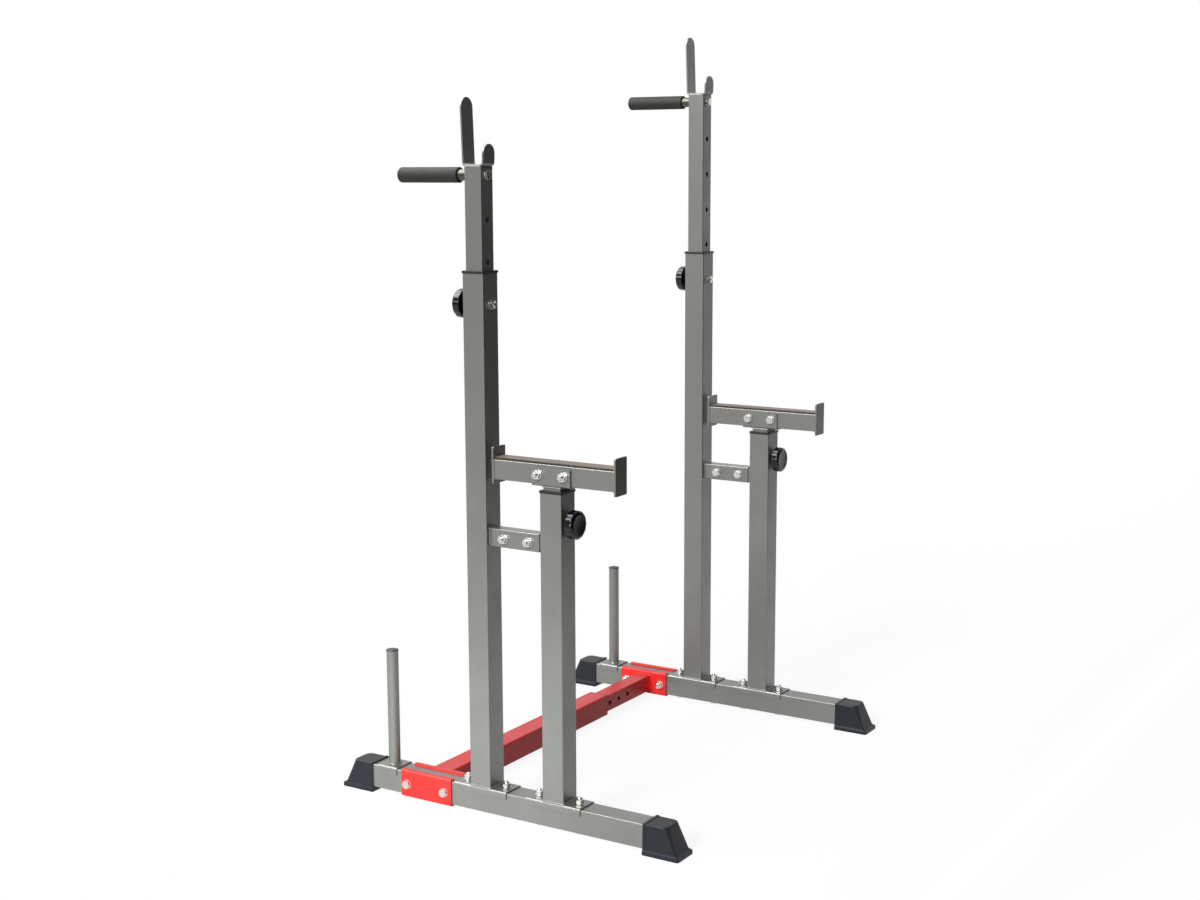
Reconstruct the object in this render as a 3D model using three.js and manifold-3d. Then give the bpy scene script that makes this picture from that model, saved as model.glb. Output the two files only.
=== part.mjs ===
// An adjustable squat stand: two side frames of square steel tube, joined by a telescoping crossbar.
// Each side frame carries a telescoping mast with a bar catch and a dip handle, a shorter safety
// post with a spotter arm, and a peg that stores weight plates.
// Millimetres, Z up. X runs across from the left frame to the right one, and -Y is the front.
// The origin is on the floor, in the middle of the footprint.

import * as THREE from "three";
import { mergeVertices } from "three/addons/utils/BufferGeometryUtils.js";
import Module from "manifold-3d";

// Driving dimensions

const frameSpacing = 892; // between the middle planes of the two side frames
const baseLength = 830; // over both feet of one frame
const postOffset = 178; // from the upright forward to the safety post
const saddleGap = 8; // bare beam between the upright's saddle and the crossbar's clamp
const pegGap = 14; // bare beam on each side of the storage peg's saddle

const outerTube = 50; // beams, uprights, posts and the crossbar's outer tube
const outerWall = 2;
const outerCorner = 3.5;
const bushRoom = 3; // on each side, for the plastic bush between an outer tube and an inner one
const innerTube = outerTube - 2 * (outerWall + bushRoom); // masts, stems, arms, crossbar's inner tube
const innerWall = 2;
const innerCorner = 3;

const uprightLength = 1047;
const postLength = 626.5;
const lockDrop = 61; // from the top of an outer tube down to the axis of its locking stud
const holeSlack = 1.5; // by which a hole is wider than its bolt or stud

const mastPitch = 82.5; // between the holes of a mast
const mastHoles = 7;
const mastFirstHole = 102.5; // from the mast's top down to its first hole
const mastTail = 60; // below the last hole
const leftMastHole = 2; // the hole in which each mast is locked, counted from the top hole as 0
const rightMastHole = 4;

const stemPitch = 41.25; // between the holes of a safety stem
const stemHoles = 7;
const stemTail = 42;
const stemShow = 7.5; // stem seen between the collar and the cradle at the lowest setting

const sliderShow = 213.5; // inner crossbar tube seen between the sleeve and the right frame
const sliderInside = 243; // and the rest of it, inside the sleeve
const sliderPitch = 41.25;
const sliderHoles = 7;
const widthLockInset = 19.5; // from the sleeve's end back to the width lock
const widthBoltReach = 8; // of the width lock's bolt beyond the inner tube's wall
const bushLength = 10; // of the bush in the sleeve's end
const bushRim = 3; // of its rim, which shows beyond that end

// Smaller sizes of the pieces

const foot = {
  sole: 11, // height of the sole, on which the beam lies
  soleProud: 5.5, // of the sole and the body, beyond each side of the beam
  bodyProud: 3.5,
  length: 81,
  bodyLength: 73, // of the body, where it meets the sole
  topLength: 54,
  wall: 2,
  grip: 44, // how far the beam goes in
  soleCorner: 9,
  topCorner: 14,
  bevel: 1.5,
  shoulder: 2.5,
  rimLength: 7,
  rimProud: 1,
};

const saddle = {
  length: 130,
  thickness: 3,
  lip: 12, // how far its sides reach down the beam
  boltSpacing: 96,
};

const connector = {
  width: 30,
  height: 37,
  wall: 2,
  corner: 2.5,
  drop: 85, // from the top of the safety post down to it
  tongueShow: 9, // of the tongue, between the sleeve and the post
  tongueStop: 18, // from the end of the tongue to the upright
  rearBolt: 35, // from the upright's front face
  frontBolt: 25.5, // from the sleeve's open end
};

const collar = {
  lip: 5,
  proud: 1.5, // beyond the outer tube
  skirt: 40,
};

const barCatch = {
  inset: 1, // of the strip, from each side of the mast
  proud: 5.5, // of the roots of the prongs, beyond the mast
  thickness: 4,
  bend: 8, // outer radius
  rearHeight: 133.5, // of each prong, above the top of the mast
  frontHeight: 43.5,
  lean: 2, // degrees outwards
};

const dipHandle = {
  drop: 16.5, // from the mast's top to the handle's axis
  boltHead: 5,
  barRadius: 11.25,
  barLength: 164,
  gripRadius: 15.5,
  gripStart: 24, // from the mast's rear face
  gripEnd: 7, // foam beyond the bar's end
  edge: 2.5,
};

const cradle = {
  length: 90,
  thickness: 3.5,
  cheekDrop: 4, // from the arm's top down to the edges of the cheeks
  boltSpacing: 59,
  corner: 5,
};

const arm = {
  length: 287, // over both end plates
  rearGap: 12, // from its rear end to the face of the upright
  plateThickness: 4,
  plateBelow: 9.5, // how far the end plates reach beyond the tube, on each edge
  plateAbove: 24.5,
  plateProud: 1,
  plateCorner: 3,
  padInset: 2, // from each side of the tube
  padThickness: 4.5,
  padEdge: 1.5,
};

const clamp = {
  length: 130,
  thickness: 4,
  flange: 10, // how far it laps over the beam
  bend: 5, // outer radius of its bends
  boltSpacing: 96,
};

const peg = {
  radius: 12.5,
  height: 247, // of the bare tube above the saddle
  capHeight: 4,
  capRadius: 13.5,
  saddleLength: 50,
};

const bolt = {
  radius: 5,
  head: 6.5,
  nut: 8,
  acrossFlats: 16,
  washerRadius: 10,
  washer: 2,
  tip: 4,
};

const stud = {
  radius: 5,
  inKnob: 15, // of its length that the knob holds
  tip: 3,
};

const knob = {
  radius: 29,
  disc: 18,
  bevel: 2.5,
  hubRadius: 12,
  hubFoot: 9,
  hubLength: 8,
  dishRadius: 19,
  dishDepth: 2.5,
};

// Clearances

const fit = 0.3; // between a piece and one that it slips into or over
const slide = 0.4; // between a telescoping tube and its collar
const weld = 1; // how far welded pieces run into each other
const over = 2; // by which a cutter runs past what it cuts

// Worked-out places, all above the floor

const half = outerTube / 2;
const innerHalf = innerTube / 2;
const beamTop = foot.sole + outerTube;
const tubeFoot = beamTop + saddle.thickness;
const uprightTop = tubeFoot + uprightLength;
const postTop = tubeFoot + postLength;
const connectorTop = postTop - connector.drop;
const uprightLock = uprightTop - lockDrop;
const postLock = postTop - lockDrop;
const footMouth = baseLength / 2 - foot.length;
const pegY = footMouth - pegGap - peg.saddleLength / 2;
const crossbarY = pegY - peg.saddleLength / 2 - pegGap - clamp.length / 2;
const uprightY = crossbarY - clamp.length / 2 - saddleGap - saddle.length / 2;
const postY = uprightY - postOffset;
const cradleBottom = postTop + collar.lip + stemShow;

// Joining and cutting

const wasm = await Module();
wasm.setup();

function solidOf(geometry) {
  const bare = geometry.clone();
  bare.deleteAttribute("normal");
  bare.deleteAttribute("uv");
  const merged = mergeVertices(bare);
  const vertProperties = merged.attributes.position.array;
  const triVerts = new Uint32Array(merged.index.array);
  return new wasm.Manifold(new wasm.Mesh({ numProp: 3, vertProperties, triVerts }));
}

function geometryOf(solid) {
  const mesh = solid.getMesh();
  const geometry = new THREE.BufferGeometry();
  geometry.setAttribute("position", new THREE.BufferAttribute(mesh.vertProperties, 3));
  geometry.setIndex(new THREE.BufferAttribute(mesh.triVerts, 1));
  return geometry;
}

function join(...pieces) {
  return geometryOf(pieces.map(solidOf).reduce((all, one) => all.add(one)));
}

function cut(piece, ...tools) {
  return geometryOf(tools.map(solidOf).reduce((rest, tool) => rest.subtract(tool), solidOf(piece)));
}

// Basic forms

const facets = { curve: 2, tip: 8, footCorner: 2, rod: 8, hole: 8, shank: 6, turned: 12 };

// A box given by its lowest and highest corners.
function block([x0, y0, z0], [x1, y1, z1]) {
  const box = new THREE.BoxGeometry(x1 - x0, y1 - y0, z1 - z0);
  return box.translate((x0 + x1) / 2, (y0 + y1) / 2, (z0 + z1) / 2);
}

// A rectangle centred on the origin.
function rectangle(width, height) {
  const [x, y] = [width / 2, height / 2];
  return new THREE.Shape([
    new THREE.Vector2(x, y),
    new THREE.Vector2(-x, y),
    new THREE.Vector2(-x, -y),
    new THREE.Vector2(x, -y),
  ]);
}

// The same with round corners.
function roundedRectangle(width, height, corner) {
  const x = width / 2 - corner;
  const y = height / 2 - corner;
  const shape = new THREE.Shape();
  shape.absarc(x, y, corner, 0, Math.PI / 2);
  shape.absarc(-x, y, corner, Math.PI / 2, Math.PI);
  shape.absarc(-x, -y, corner, Math.PI, 1.5 * Math.PI);
  shape.absarc(x, -y, corner, 1.5 * Math.PI, 2 * Math.PI);
  shape.closePath();
  return shape;
}

// A shape drawn in the XY plane, extruded from the height given.
function extruded(shape, bottom, top) {
  const settings = { depth: top - bottom, bevelEnabled: false, curveSegments: facets.curve };
  return new THREE.ExtrudeGeometry(shape, settings).translate(0, 0, bottom);
}

// A hollow tube of rectangular section that stands on the height given.
function tube(width, depth, wall, corner, bottom, top) {
  const outside = roundedRectangle(width, depth, corner);
  outside.holes.push(rectangle(width - 2 * wall, depth - 2 * wall));
  return extruded(outside, bottom, top);
}

// A round rod along Z.
function rod(radius, bottom, top, sides = facets.rod) {
  const height = top - bottom;
  const cylinder = new THREE.CylinderGeometry(radius, radius, height, sides);
  return cylinder.rotateX(Math.PI / 2).translate(0, 0, (bottom + top) / 2);
}

// A hexagon along Z, as a bolt head or a nut.
function hexagon(acrossFlats, bottom, top) {
  return rod(acrossFlats / Math.sqrt(3), bottom, top, 6);
}

// A piece turned about Z from a profile of [radius, height] pairs that starts and ends on the axis.
function turned(profile, sides = facets.turned) {
  const points = profile.map(([radius, height]) => new THREE.Vector2(radius, height));
  return new THREE.LatheGeometry(points, sides).rotateX(Math.PI / 2);
}

// Turns what was made along Z so that it runs along X or Y.
function alongX(geometry) {
  return geometry.rotateY(Math.PI / 2);
}
function alongY(geometry) {
  return geometry.rotateX(-Math.PI / 2);
}

// Stands up what was drawn in the XY plane: its x becomes Y, and its y becomes Z.
function sideways(geometry) {
  return geometry.rotateX(Math.PI / 2).rotateZ(Math.PI / 2);
}

// A round hole along X, Y or Z for a bolt or a stud, through everything within reach of a place.
function hole(radius, reach) {
  return rod(radius + holeSlack / 2, -reach, reach, facets.hole);
}
function holeX(x, y, z, reach, radius = bolt.radius) {
  return alongX(hole(radius, reach)).translate(x, y, z);
}
function holeY(x, y, z, reach, radius = bolt.radius) {
  return alongY(hole(radius, reach)).translate(x, y, z);
}
function holeZ(x, y, z, reach, radius = bolt.radius) {
  return hole(radius, reach).translate(x, y, z);
}

// A closed body lofted through outlines of equal point counts, listed from the bottom up.
function lofted(levels) {
  const count = levels[0].outline.length;
  const positions = levels.flatMap(({ outline, height }) => outline.flatMap((p) => [p.x, p.y, height]));
  const indices = [];
  for (let level = 1; level < levels.length; level += 1) {
    const low = (level - 1) * count;
    const high = level * count;
    for (let i = 0; i < count; i += 1) {
      const next = (i + 1) % count;
      indices.push(low + i, low + next, high + next);
      indices.push(low + i, high + next, high + i);
    }
  }
  const last = (levels.length - 1) * count;
  for (const [a, b, c] of THREE.ShapeUtils.triangulateShape(levels[0].outline, [])) {
    indices.push(a, c, b);
  }
  for (const [a, b, c] of THREE.ShapeUtils.triangulateShape(levels[levels.length - 1].outline, [])) {
    indices.push(last + a, last + b, last + c);
  }
  const geometry = new THREE.BufferGeometry();
  geometry.setAttribute("position", new THREE.Float32BufferAttribute(positions, 3));
  geometry.setIndex(indices);
  return geometry;
}

// Evenly spaced places, from the first one on.
function spread(count, pitch, first) {
  return Array.from({ length: count }, (_, i) => first + i * pitch);
}

// Finishes

const finishes = {
  greyPaint: { color: 0x8a8b86, roughness: 0.42, metalness: 0.55 },
  redPaint: { color: 0xe3322b, roughness: 0.35, metalness: 0.2 },
  blackPlastic: { color: 0x24272a, roughness: 0.5, metalness: 0 },
  knobPlastic: { color: 0x17181a, roughness: 0.3, metalness: 0 },
  foam: { color: 0x1b1a1b, roughness: 0.95, metalness: 0 },
  rubber: { color: 0x2a2525, roughness: 0.7, metalness: 0 },
  zinc: { color: 0xd5d6d3, roughness: 0.28, metalness: 1 },
};

function piece(name, geometry, finish) {
  const flat = geometry.index ? geometry.toNonIndexed() : geometry;
  flat.computeVertexNormals();
  const mesh = new THREE.Mesh(flat, new THREE.MeshStandardMaterial(finishes[finish]));
  mesh.name = name;
  return mesh;
}

// Fasteners

// A hex bolt along Z with its washers and nut, head below zero, through pieces of a total depth.
function boltAndNut(depth) {
  const nutSeat = depth + bolt.washer;
  return join(
    hexagon(bolt.acrossFlats, -bolt.washer - bolt.head, -bolt.washer),
    rod(bolt.washerRadius, -bolt.washer, 0),
    rod(bolt.radius, -weld, nutSeat + bolt.nut + bolt.tip, facets.shank),
    rod(bolt.washerRadius, depth, nutSeat),
    hexagon(bolt.acrossFlats, nutSeat, nutSeat + bolt.nut),
  );
}

// A standing bolt whose head is under the beam and whose nut is on top.
function standingBolt(name, y) {
  const geometry = boltAndNut(outerTube + saddle.thickness);
  const mesh = piece(name, geometry, "zinc");
  mesh.position.set(0, y, foot.sole);
  return mesh;
}

// A bolt along X through pieces of a total depth, with its head on the side given.
function acrossBolt(depth, headSide) {
  const geometry = alongX(boltAndNut(depth).translate(0, 0, -depth / 2));
  return headSide > 0 ? geometry.rotateZ(Math.PI) : geometry;
}
function crossBolt(name, y, z, depth, headSide) {
  const mesh = piece(name, acrossBolt(depth, headSide), "zinc");
  mesh.position.set(0, y, z);
  return mesh;
}

// The base of a side frame

function baseBeam() {
  const length = baseLength - 2 * foot.length + 2 * foot.grip;
  const body = alongY(tube(outerTube, outerTube, outerWall, outerCorner, -length / 2, length / 2));
  const middle = foot.sole + half;
  const standing = [uprightY, postY].flatMap((y) => spread(2, saddle.boltSpacing, y - saddle.boltSpacing / 2));
  const across = spread(2, clamp.boltSpacing, crossbarY - clamp.boltSpacing / 2);
  return cut(
    body.translate(0, 0, middle),
    ...standing.map((y) => holeZ(0, y, middle, outerTube)),
    ...across.map((y) => holeX(0, y, middle, outerTube)),
  );
}

// The plan of a foot at one height: square at the beam's end, with round outer corners.
function footOutline(width, length, corner) {
  const x = width / 2;
  const shape = new THREE.Shape();
  shape.moveTo(-x, 0);
  shape.lineTo(x, 0);
  shape.absarc(x - corner, length - corner, corner, 0, Math.PI / 2);
  shape.absarc(corner - x, length - corner, corner, Math.PI / 2, Math.PI);
  return shape.getPoints(facets.footCorner);
}

// A moulded foot that is slipped over the beam's end. It points along +Y from the end of its mouth.
function footCap() {
  const topWidth = outerTube + 2 * fit + 2 * foot.wall;
  const top = beamTop + fit + foot.wall;
  const soleWidth = outerTube + 2 * foot.soleProud;
  const bodyWidth = outerTube + 2 * foot.bodyProud;
  const inset = 2 * foot.bevel;
  const soleLevel = (height, less) => ({
    outline: footOutline(soleWidth - 2 * less, foot.length - less, foot.soleCorner),
    height,
  });
  const body = lofted([
    soleLevel(0, foot.bevel),
    soleLevel(foot.bevel, 0),
    soleLevel(foot.sole - foot.shoulder, 0),
    { outline: footOutline(bodyWidth, foot.bodyLength, foot.soleCorner), height: foot.sole },
    { outline: footOutline(topWidth, foot.topLength, foot.topCorner), height: top - foot.bevel },
    { outline: footOutline(topWidth - inset, foot.topLength - foot.bevel, foot.topCorner), height: top },
  ]);
  const rimHalf = topWidth / 2 + foot.rimProud;
  const rim = block([-rimHalf, 0, foot.sole - foot.shoulder], [rimHalf, foot.rimLength, top + foot.rimProud]);
  const socketHalf = half + fit;
  const socket = block([-socketHalf, -over, foot.sole], [socketHalf, foot.grip + fit, beamTop + fit]);
  return cut(join(body, rim), socket);
}

// The bent plate that hugs the top of the beam under an upright, a post or a peg.
function saddlePlate(length) {
  const outside = half + saddle.thickness;
  const plate = block([-outside, -length / 2, beamTop - saddle.lip], [outside, length / 2, tubeFoot]);
  const channel = block([-half, -length, 0], [half, length, beamTop]);
  return cut(plate, channel);
}

// A nut welded on the face of an outer tube, which takes a locking stud. It stands out along Y.
function weldedNut(side, z) {
  const nut = alongY(hexagon(bolt.acrossFlats, half - weld, half + bolt.nut));
  if (side < 0) nut.rotateZ(Math.PI);
  return nut.translate(0, 0, z);
}

// A tube on its saddle, about its own vertical axis, with the hole of its locking stud.
function footedTube(top, lock, nutSide) {
  const standing = spread(2, saddle.boltSpacing, -saddle.boltSpacing / 2);
  return cut(
    join(
      saddlePlate(saddle.length),
      tube(outerTube, outerTube, outerWall, outerCorner, tubeFoot - weld, top),
      weldedNut(nutSide, lock),
    ),
    holeY(0, 0, lock, outerTube, stud.radius),
    ...standing.map((y) => holeZ(0, y, tubeFoot, outerTube)),
  );
}

const connectorMiddle = connectorTop - connector.height / 2;
const connectorEnd = postOffset - half - connector.tongueShow; // of the sleeve, from the upright's axis
const connectorBolts = [half + connector.rearBolt, connectorEnd - connector.frontBolt];

// The upright, with the sleeve of the cross connector on its front face.
function upright() {
  const { width, height, wall, corner } = connector;
  const sleeve = alongY(tube(width, height, wall, corner, half - weld, connectorEnd));
  return cut(
    join(footedTube(uprightTop, uprightLock, -1), sleeve.rotateZ(Math.PI).translate(0, 0, connectorMiddle)),
    ...connectorBolts.map((y) => holeX(0, -y, connectorMiddle, outerTube)),
  );
}

// The safety post, with the tongue that goes into that sleeve on its rear face.
function safetyPost() {
  const slack = 2 * connector.wall + 2 * fit;
  const width = connector.width - slack;
  const height = connector.height - slack;
  const reach = postOffset - half - connector.tongueStop;
  const tongue = alongY(tube(width, height, connector.wall, connector.corner, half - weld, reach));
  return cut(
    join(footedTube(postTop, postLock, 1), tongue.translate(0, 0, connectorMiddle)),
    ...connectorBolts.map((y) => holeX(0, postOffset - y, connectorMiddle, outerTube)),
  );
}

// The plastic bush in the top of an outer tube, in which the inner tube slides.
function tubeCollar(top) {
  const lipSize = outerTube + 2 * collar.proud;
  const skirtSize = outerTube - 2 * outerWall - 2 * fit;
  const boreSize = innerTube + 2 * slide;
  const lip = extruded(roundedRectangle(lipSize, lipSize, outerCorner), top, top + collar.lip);
  const skirt = extruded(rectangle(skirtSize, skirtSize), top - collar.skirt, top + weld);
  const bore = extruded(rectangle(boreSize, boreSize), top - outerTube, top + outerTube);
  return cut(join(lip, skirt), bore);
}

// The peg on which spare weight plates are kept, with its plastic cap.
function storagePeg() {
  const top = tubeFoot + peg.height;
  const profile = [
    [0, tubeFoot - weld],
    [peg.radius, tubeFoot - weld],
    [peg.radius, top],
    [peg.capRadius, top],
    [peg.capRadius, top + peg.capHeight / 2],
    [peg.radius - weld, top + peg.capHeight],
    [0, top + peg.capHeight],
  ];
  return join(saddlePlate(peg.saddleLength), turned(profile));
}

// The mast and what it carries, measured from its top downwards

const catchWidth = innerTube - 2 * barCatch.inset;
const catchSpan = innerTube + 2 * barCatch.proud;

// The side view of the bar catch: a flat strip bent into a U, with its prongs leaning outwards.
function catchProfile() {
  const { thickness, bend, rearHeight, frontHeight, lean } = barCatch;
  const tilt = THREE.MathUtils.degToRad(lean);
  const centre = catchSpan / 2 - bend;
  const inner = bend - thickness;
  const tip = (height, radius) => {
    const rise = (height - bend) / Math.cos(tilt);
    const out = centre + radius * Math.cos(tilt) + rise * Math.sin(tilt);
    return [out, bend - radius * Math.sin(tilt) + rise * Math.cos(tilt)];
  };
  const shape = new THREE.Shape();
  shape.absarc(centre, bend, bend, -Math.PI / 2, -tilt);
  shape.lineTo(...tip(rearHeight, bend));
  shape.lineTo(...tip(rearHeight, inner));
  shape.absarc(centre, bend, inner, -tilt, -Math.PI / 2, true);
  shape.absarc(-centre, bend, inner, -Math.PI / 2, tilt - Math.PI, true);
  const [innerTip, outerTip] = [tip(frontHeight, inner), tip(frontHeight, bend)];
  shape.lineTo(-innerTip[0], innerTip[1]);
  shape.lineTo(-outerTip[0], outerTip[1]);
  shape.absarc(-centre, bend, bend, tilt - Math.PI, -Math.PI / 2);
  shape.closePath();
  return shape;
}

// The space that a prong of the strip may fill: as wide as the strip, with a round end.
function prongSpace(height) {
  const radius = catchWidth / 2;
  const shape = new THREE.Shape();
  shape.moveTo(-radius, -over);
  shape.lineTo(radius, -over);
  shape.absarc(0, height - radius, radius, 0, Math.PI);
  shape.closePath();
  const settings = { depth: catchSpan, bevelEnabled: false, curveSegments: facets.tip };
  return new THREE.ExtrudeGeometry(shape, settings).rotateX(Math.PI / 2);
}

function catchStrip() {
  const { rearHeight, frontHeight } = barCatch;
  const strip = sideways(extruded(catchProfile(), -catchWidth / 2, catchWidth / 2));
  const spaces = join(prongSpace(rearHeight).rotateZ(Math.PI), prongSpace(frontHeight));
  return geometryOf(solidOf(strip).intersect(solidOf(spaces)));
}

function mast() {
  const length = mastFirstHole + (mastHoles - 1) * mastPitch + mastTail;
  const body = tube(innerTube, innerTube, innerWall, innerCorner, -length, weld);
  const holes = spread(mastHoles, mastPitch, mastFirstHole);
  return cut(
    join(body, catchStrip()),
    ...holes.map((drop) => holeY(0, 0, -drop, outerTube, stud.radius)),
    holeY(0, 0, -dipHandle.drop, outerTube),
  );
}

// The dip handle's bar on the mast's rear face, with the bolt that holds it through the mast.
function dipBar() {
  const washerFace = -innerHalf - bolt.washer;
  return join(
    alongY(rod(dipHandle.barRadius, innerHalf, innerHalf + dipHandle.barLength, facets.turned)),
    alongY(rod(bolt.radius, washerFace - weld, innerHalf + weld, facets.shank)),
    alongY(rod(bolt.washerRadius, washerFace, -innerHalf)),
    alongY(hexagon(bolt.acrossFlats, washerFace - dipHandle.boltHead, washerFace)),
  );
}

function dipGrip() {
  const start = innerHalf + dipHandle.gripStart;
  const end = innerHalf + dipHandle.barLength + dipHandle.gripEnd;
  const bore = dipHandle.barRadius + fit;
  const radius = dipHandle.gripRadius;
  const edge = dipHandle.edge;
  const profile = [
    [0, innerHalf + dipHandle.barLength + fit],
    [bore, innerHalf + dipHandle.barLength + fit],
    [bore, start],
    [radius - edge / 2, start],
    [radius, start + edge],
    [radius, end - edge],
    [radius - edge, end],
    [0, end],
  ];
  return alongY(turned(profile));
}

// The safety stem and what it carries, measured from the underside of its cradle

// A plate bent into a U, open upwards, that holds the spotter arm.
function cradlePlate() {
  const { length, thickness, corner } = cradle;
  const height = thickness + innerTube - cradle.cheekDrop;
  const inside = innerTube + 2 * fit;
  const outside = inside + 2 * thickness;
  const side = block([-outside / 2, -length / 2, 0], [outside / 2, length / 2, height]);
  const trough = block([-inside / 2, -length, thickness], [inside / 2, length, height + over]);
  const outline = sideways(extruded(roundedRectangle(length, 2 * height, corner), -outside, outside));
  return geometryOf(solidOf(cut(side, trough)).intersect(solidOf(outline)));
}

const cradleBolts = spread(2, cradle.boltSpacing, -cradle.boltSpacing / 2);
const armBottom = cradle.thickness;
const armMiddle = armBottom + innerHalf;
const armRear = postOffset - half - arm.rearGap;
const armFront = armRear - arm.length;

// The stem with its cradle, which carries the two bolts of the arm.
function safetyStem(headSide) {
  const lockDepth = cradleBottom - postLock;
  const length = lockDepth + (stemHoles - 1) * stemPitch + stemTail;
  const holes = spread(stemHoles, stemPitch, lockDepth);
  const depth = innerTube + 2 * fit + 2 * cradle.thickness;
  return join(
    cut(
      join(tube(innerTube, innerTube, innerWall, innerCorner, -length, weld), cradlePlate()),
      ...holes.map((drop) => holeY(0, 0, -drop, outerTube, stud.radius)),
    ),
    ...cradleBolts.map((y) => acrossBolt(depth, headSide).translate(0, y, armMiddle)),
  );
}

// The spotter arm: a tube with an end plate at each end that keeps the bar on it.
function spotterArm() {
  const { plateThickness, plateCorner } = arm;
  const plateWidth = innerTube + 2 * arm.plateProud;
  const plateHeight = innerTube + arm.plateBelow + arm.plateAbove;
  const start = armFront + plateThickness;
  const end = armRear - plateThickness;
  const body = alongY(tube(innerTube, innerTube, innerWall, innerCorner, start - weld, end + weld));
  const outline = roundedRectangle(plateWidth, plateHeight, plateCorner);
  const plateMiddle = armBottom - arm.plateBelow + plateHeight / 2;
  const front = alongY(extruded(outline, armFront, start)).translate(0, 0, plateMiddle);
  const rear = alongY(extruded(outline, end, armRear)).translate(0, 0, plateMiddle);
  return cut(
    join(body.translate(0, 0, armMiddle), front, rear),
    ...cradleBolts.map((y) => holeX(0, y, armMiddle, outerTube)),
  );
}

// The rubber strip on top of the arm.
function spotterPad() {
  const start = armFront + arm.plateThickness + fit;
  const end = armRear - arm.plateThickness - fit;
  const { padThickness, padEdge } = arm;
  const x = innerHalf - arm.padInset;
  const shape = new THREE.Shape();
  shape.moveTo(-x, 0);
  shape.lineTo(x, 0);
  shape.absarc(x - padEdge, padThickness - padEdge, padEdge, 0, Math.PI / 2);
  shape.absarc(padEdge - x, padThickness - padEdge, padEdge, Math.PI / 2, Math.PI);
  shape.closePath();
  const strip = extruded(shape, -end, -start).rotateX(Math.PI / 2);
  return strip.translate(0, 0, armBottom + innerTube);
}

// The locks: a threaded stud moulded into a knob, made along Z and seated at zero

function lockStud() {
  return rod(stud.radius, -stud.inKnob + fit, outerTube + bolt.nut + stud.tip);
}

// The knob: a hub towards the tube, a thick disc and a dish in its outer face. Outwards is -Z.
function lockKnob() {
  const { radius, bevel, disc, hubRadius, hubFoot, hubLength, dishRadius, dishDepth } = knob;
  const inner = -hubLength;
  const outer = inner - disc;
  const bore = stud.radius + fit;
  return turned([
    [0, -stud.inKnob],
    [bore, -stud.inKnob],
    [bore, 0],
    [hubFoot, 0],
    [hubRadius, -hubLength / 2],
    [hubRadius, inner],
    [radius, inner],
    [radius, outer + bevel],
    [radius - bevel, outer],
    [dishRadius, outer],
    [dishRadius - dishDepth, outer + dishDepth],
    [0, outer + dishDepth],
  ].reverse());
}

// Lays a lock on the face of a tube: side +1 has the knob at the rear, side -1 at the front.
function layLock(mesh, side, z) {
  mesh.geometry.rotateX(Math.PI / 2);
  if (side < 0) mesh.geometry.rotateZ(Math.PI);
  mesh.position.set(0, side * half, z);
  return mesh;
}

// The crossbar, along X from the middle of a clamp plate outwards

// Half of the clamp round the beam: a channel whose flanges lap over it. Its web faces -X.
function clampPlate() {
  const { thickness, flange, bend, length } = clamp;
  const x = half + thickness;
  const z = half + thickness;
  const tip = half - flange;
  const shape = new THREE.Shape();
  shape.moveTo(-tip, half);
  shape.lineTo(-tip, z);
  shape.absarc(bend - x, z - bend, bend, Math.PI / 2, Math.PI);
  shape.absarc(bend - x, bend - z, bend, Math.PI, 1.5 * Math.PI);
  shape.lineTo(-tip, -z);
  shape.lineTo(-tip, -half);
  shape.lineTo(-half, -half);
  shape.lineTo(-half, half);
  shape.closePath();
  const channel = alongY(extruded(shape, -length / 2, length / 2));
  const bolts = spread(2, clamp.boltSpacing, -clamp.boltSpacing / 2);
  return cut(channel, ...bolts.map((y) => holeX(-x, y, 0, outerTube)));
}

const crossSpan = frameSpacing - outerTube - 2 * clamp.thickness;
const sleeveLength = crossSpan - sliderShow;
const widthLock = half + clamp.thickness + sleeveLength - widthLockInset; // from the left frame

// The outer crossbar tube on its clamp plate, with the nut of the width lock on its rear face.
function crossbarSleeve() {
  const start = half + clamp.thickness;
  const tubing = alongX(tube(outerTube, outerTube, outerWall, outerCorner, start - weld, start + sleeveLength));
  return cut(
    join(clampPlate().rotateZ(Math.PI), tubing, weldedNut(1, 0).translate(widthLock, 0, 0)),
    holeY(widthLock, half, 0, outerWall + bolt.nut + over),
  );
}

// The bolt that locks the width, screwed through that nut into a hole of the inner tube.
function widthBolt() {
  const seat = half + bolt.nut;
  const tip = innerHalf - innerWall - widthBoltReach;
  return join(
    alongY(rod(bolt.radius, tip, seat + weld, facets.shank)),
    alongY(hexagon(bolt.acrossFlats, seat, seat + bolt.head)),
  );
}

// The plastic bush in the end of the outer crossbar tube, in which the inner tube slides.
function crossbarBush() {
  const skirtSize = outerTube - 2 * outerWall - 2 * fit;
  const boreSize = innerTube + 2 * slide;
  const end = half + clamp.thickness + sleeveLength;
  const rim = extruded(roundedRectangle(outerTube, outerTube, outerCorner), end, end + bushRim);
  const skirt = extruded(rectangle(skirtSize, skirtSize), end - bushLength, end + weld);
  const bore = extruded(rectangle(boreSize, boreSize), end - outerTube, end + outerTube);
  return alongX(cut(join(rim, skirt), bore));
}

// The inner crossbar tube on its clamp plate, with its row of holes, measured from the right frame.
function crossbarSlider() {
  const start = half + clamp.thickness;
  const end = start + sliderShow + sliderInside;
  const tubing = alongX(tube(innerTube, innerTube, innerWall, innerCorner, -end, weld - start));
  const reachOut = (sliderHoles - 1) / 2;
  const holes = spread(sliderHoles, sliderPitch, widthLock - frameSpacing - reachOut * sliderPitch);
  return cut(join(clampPlate(), tubing), ...holes.map((x) => holeY(x, 0, 0, innerTube)));
}

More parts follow.
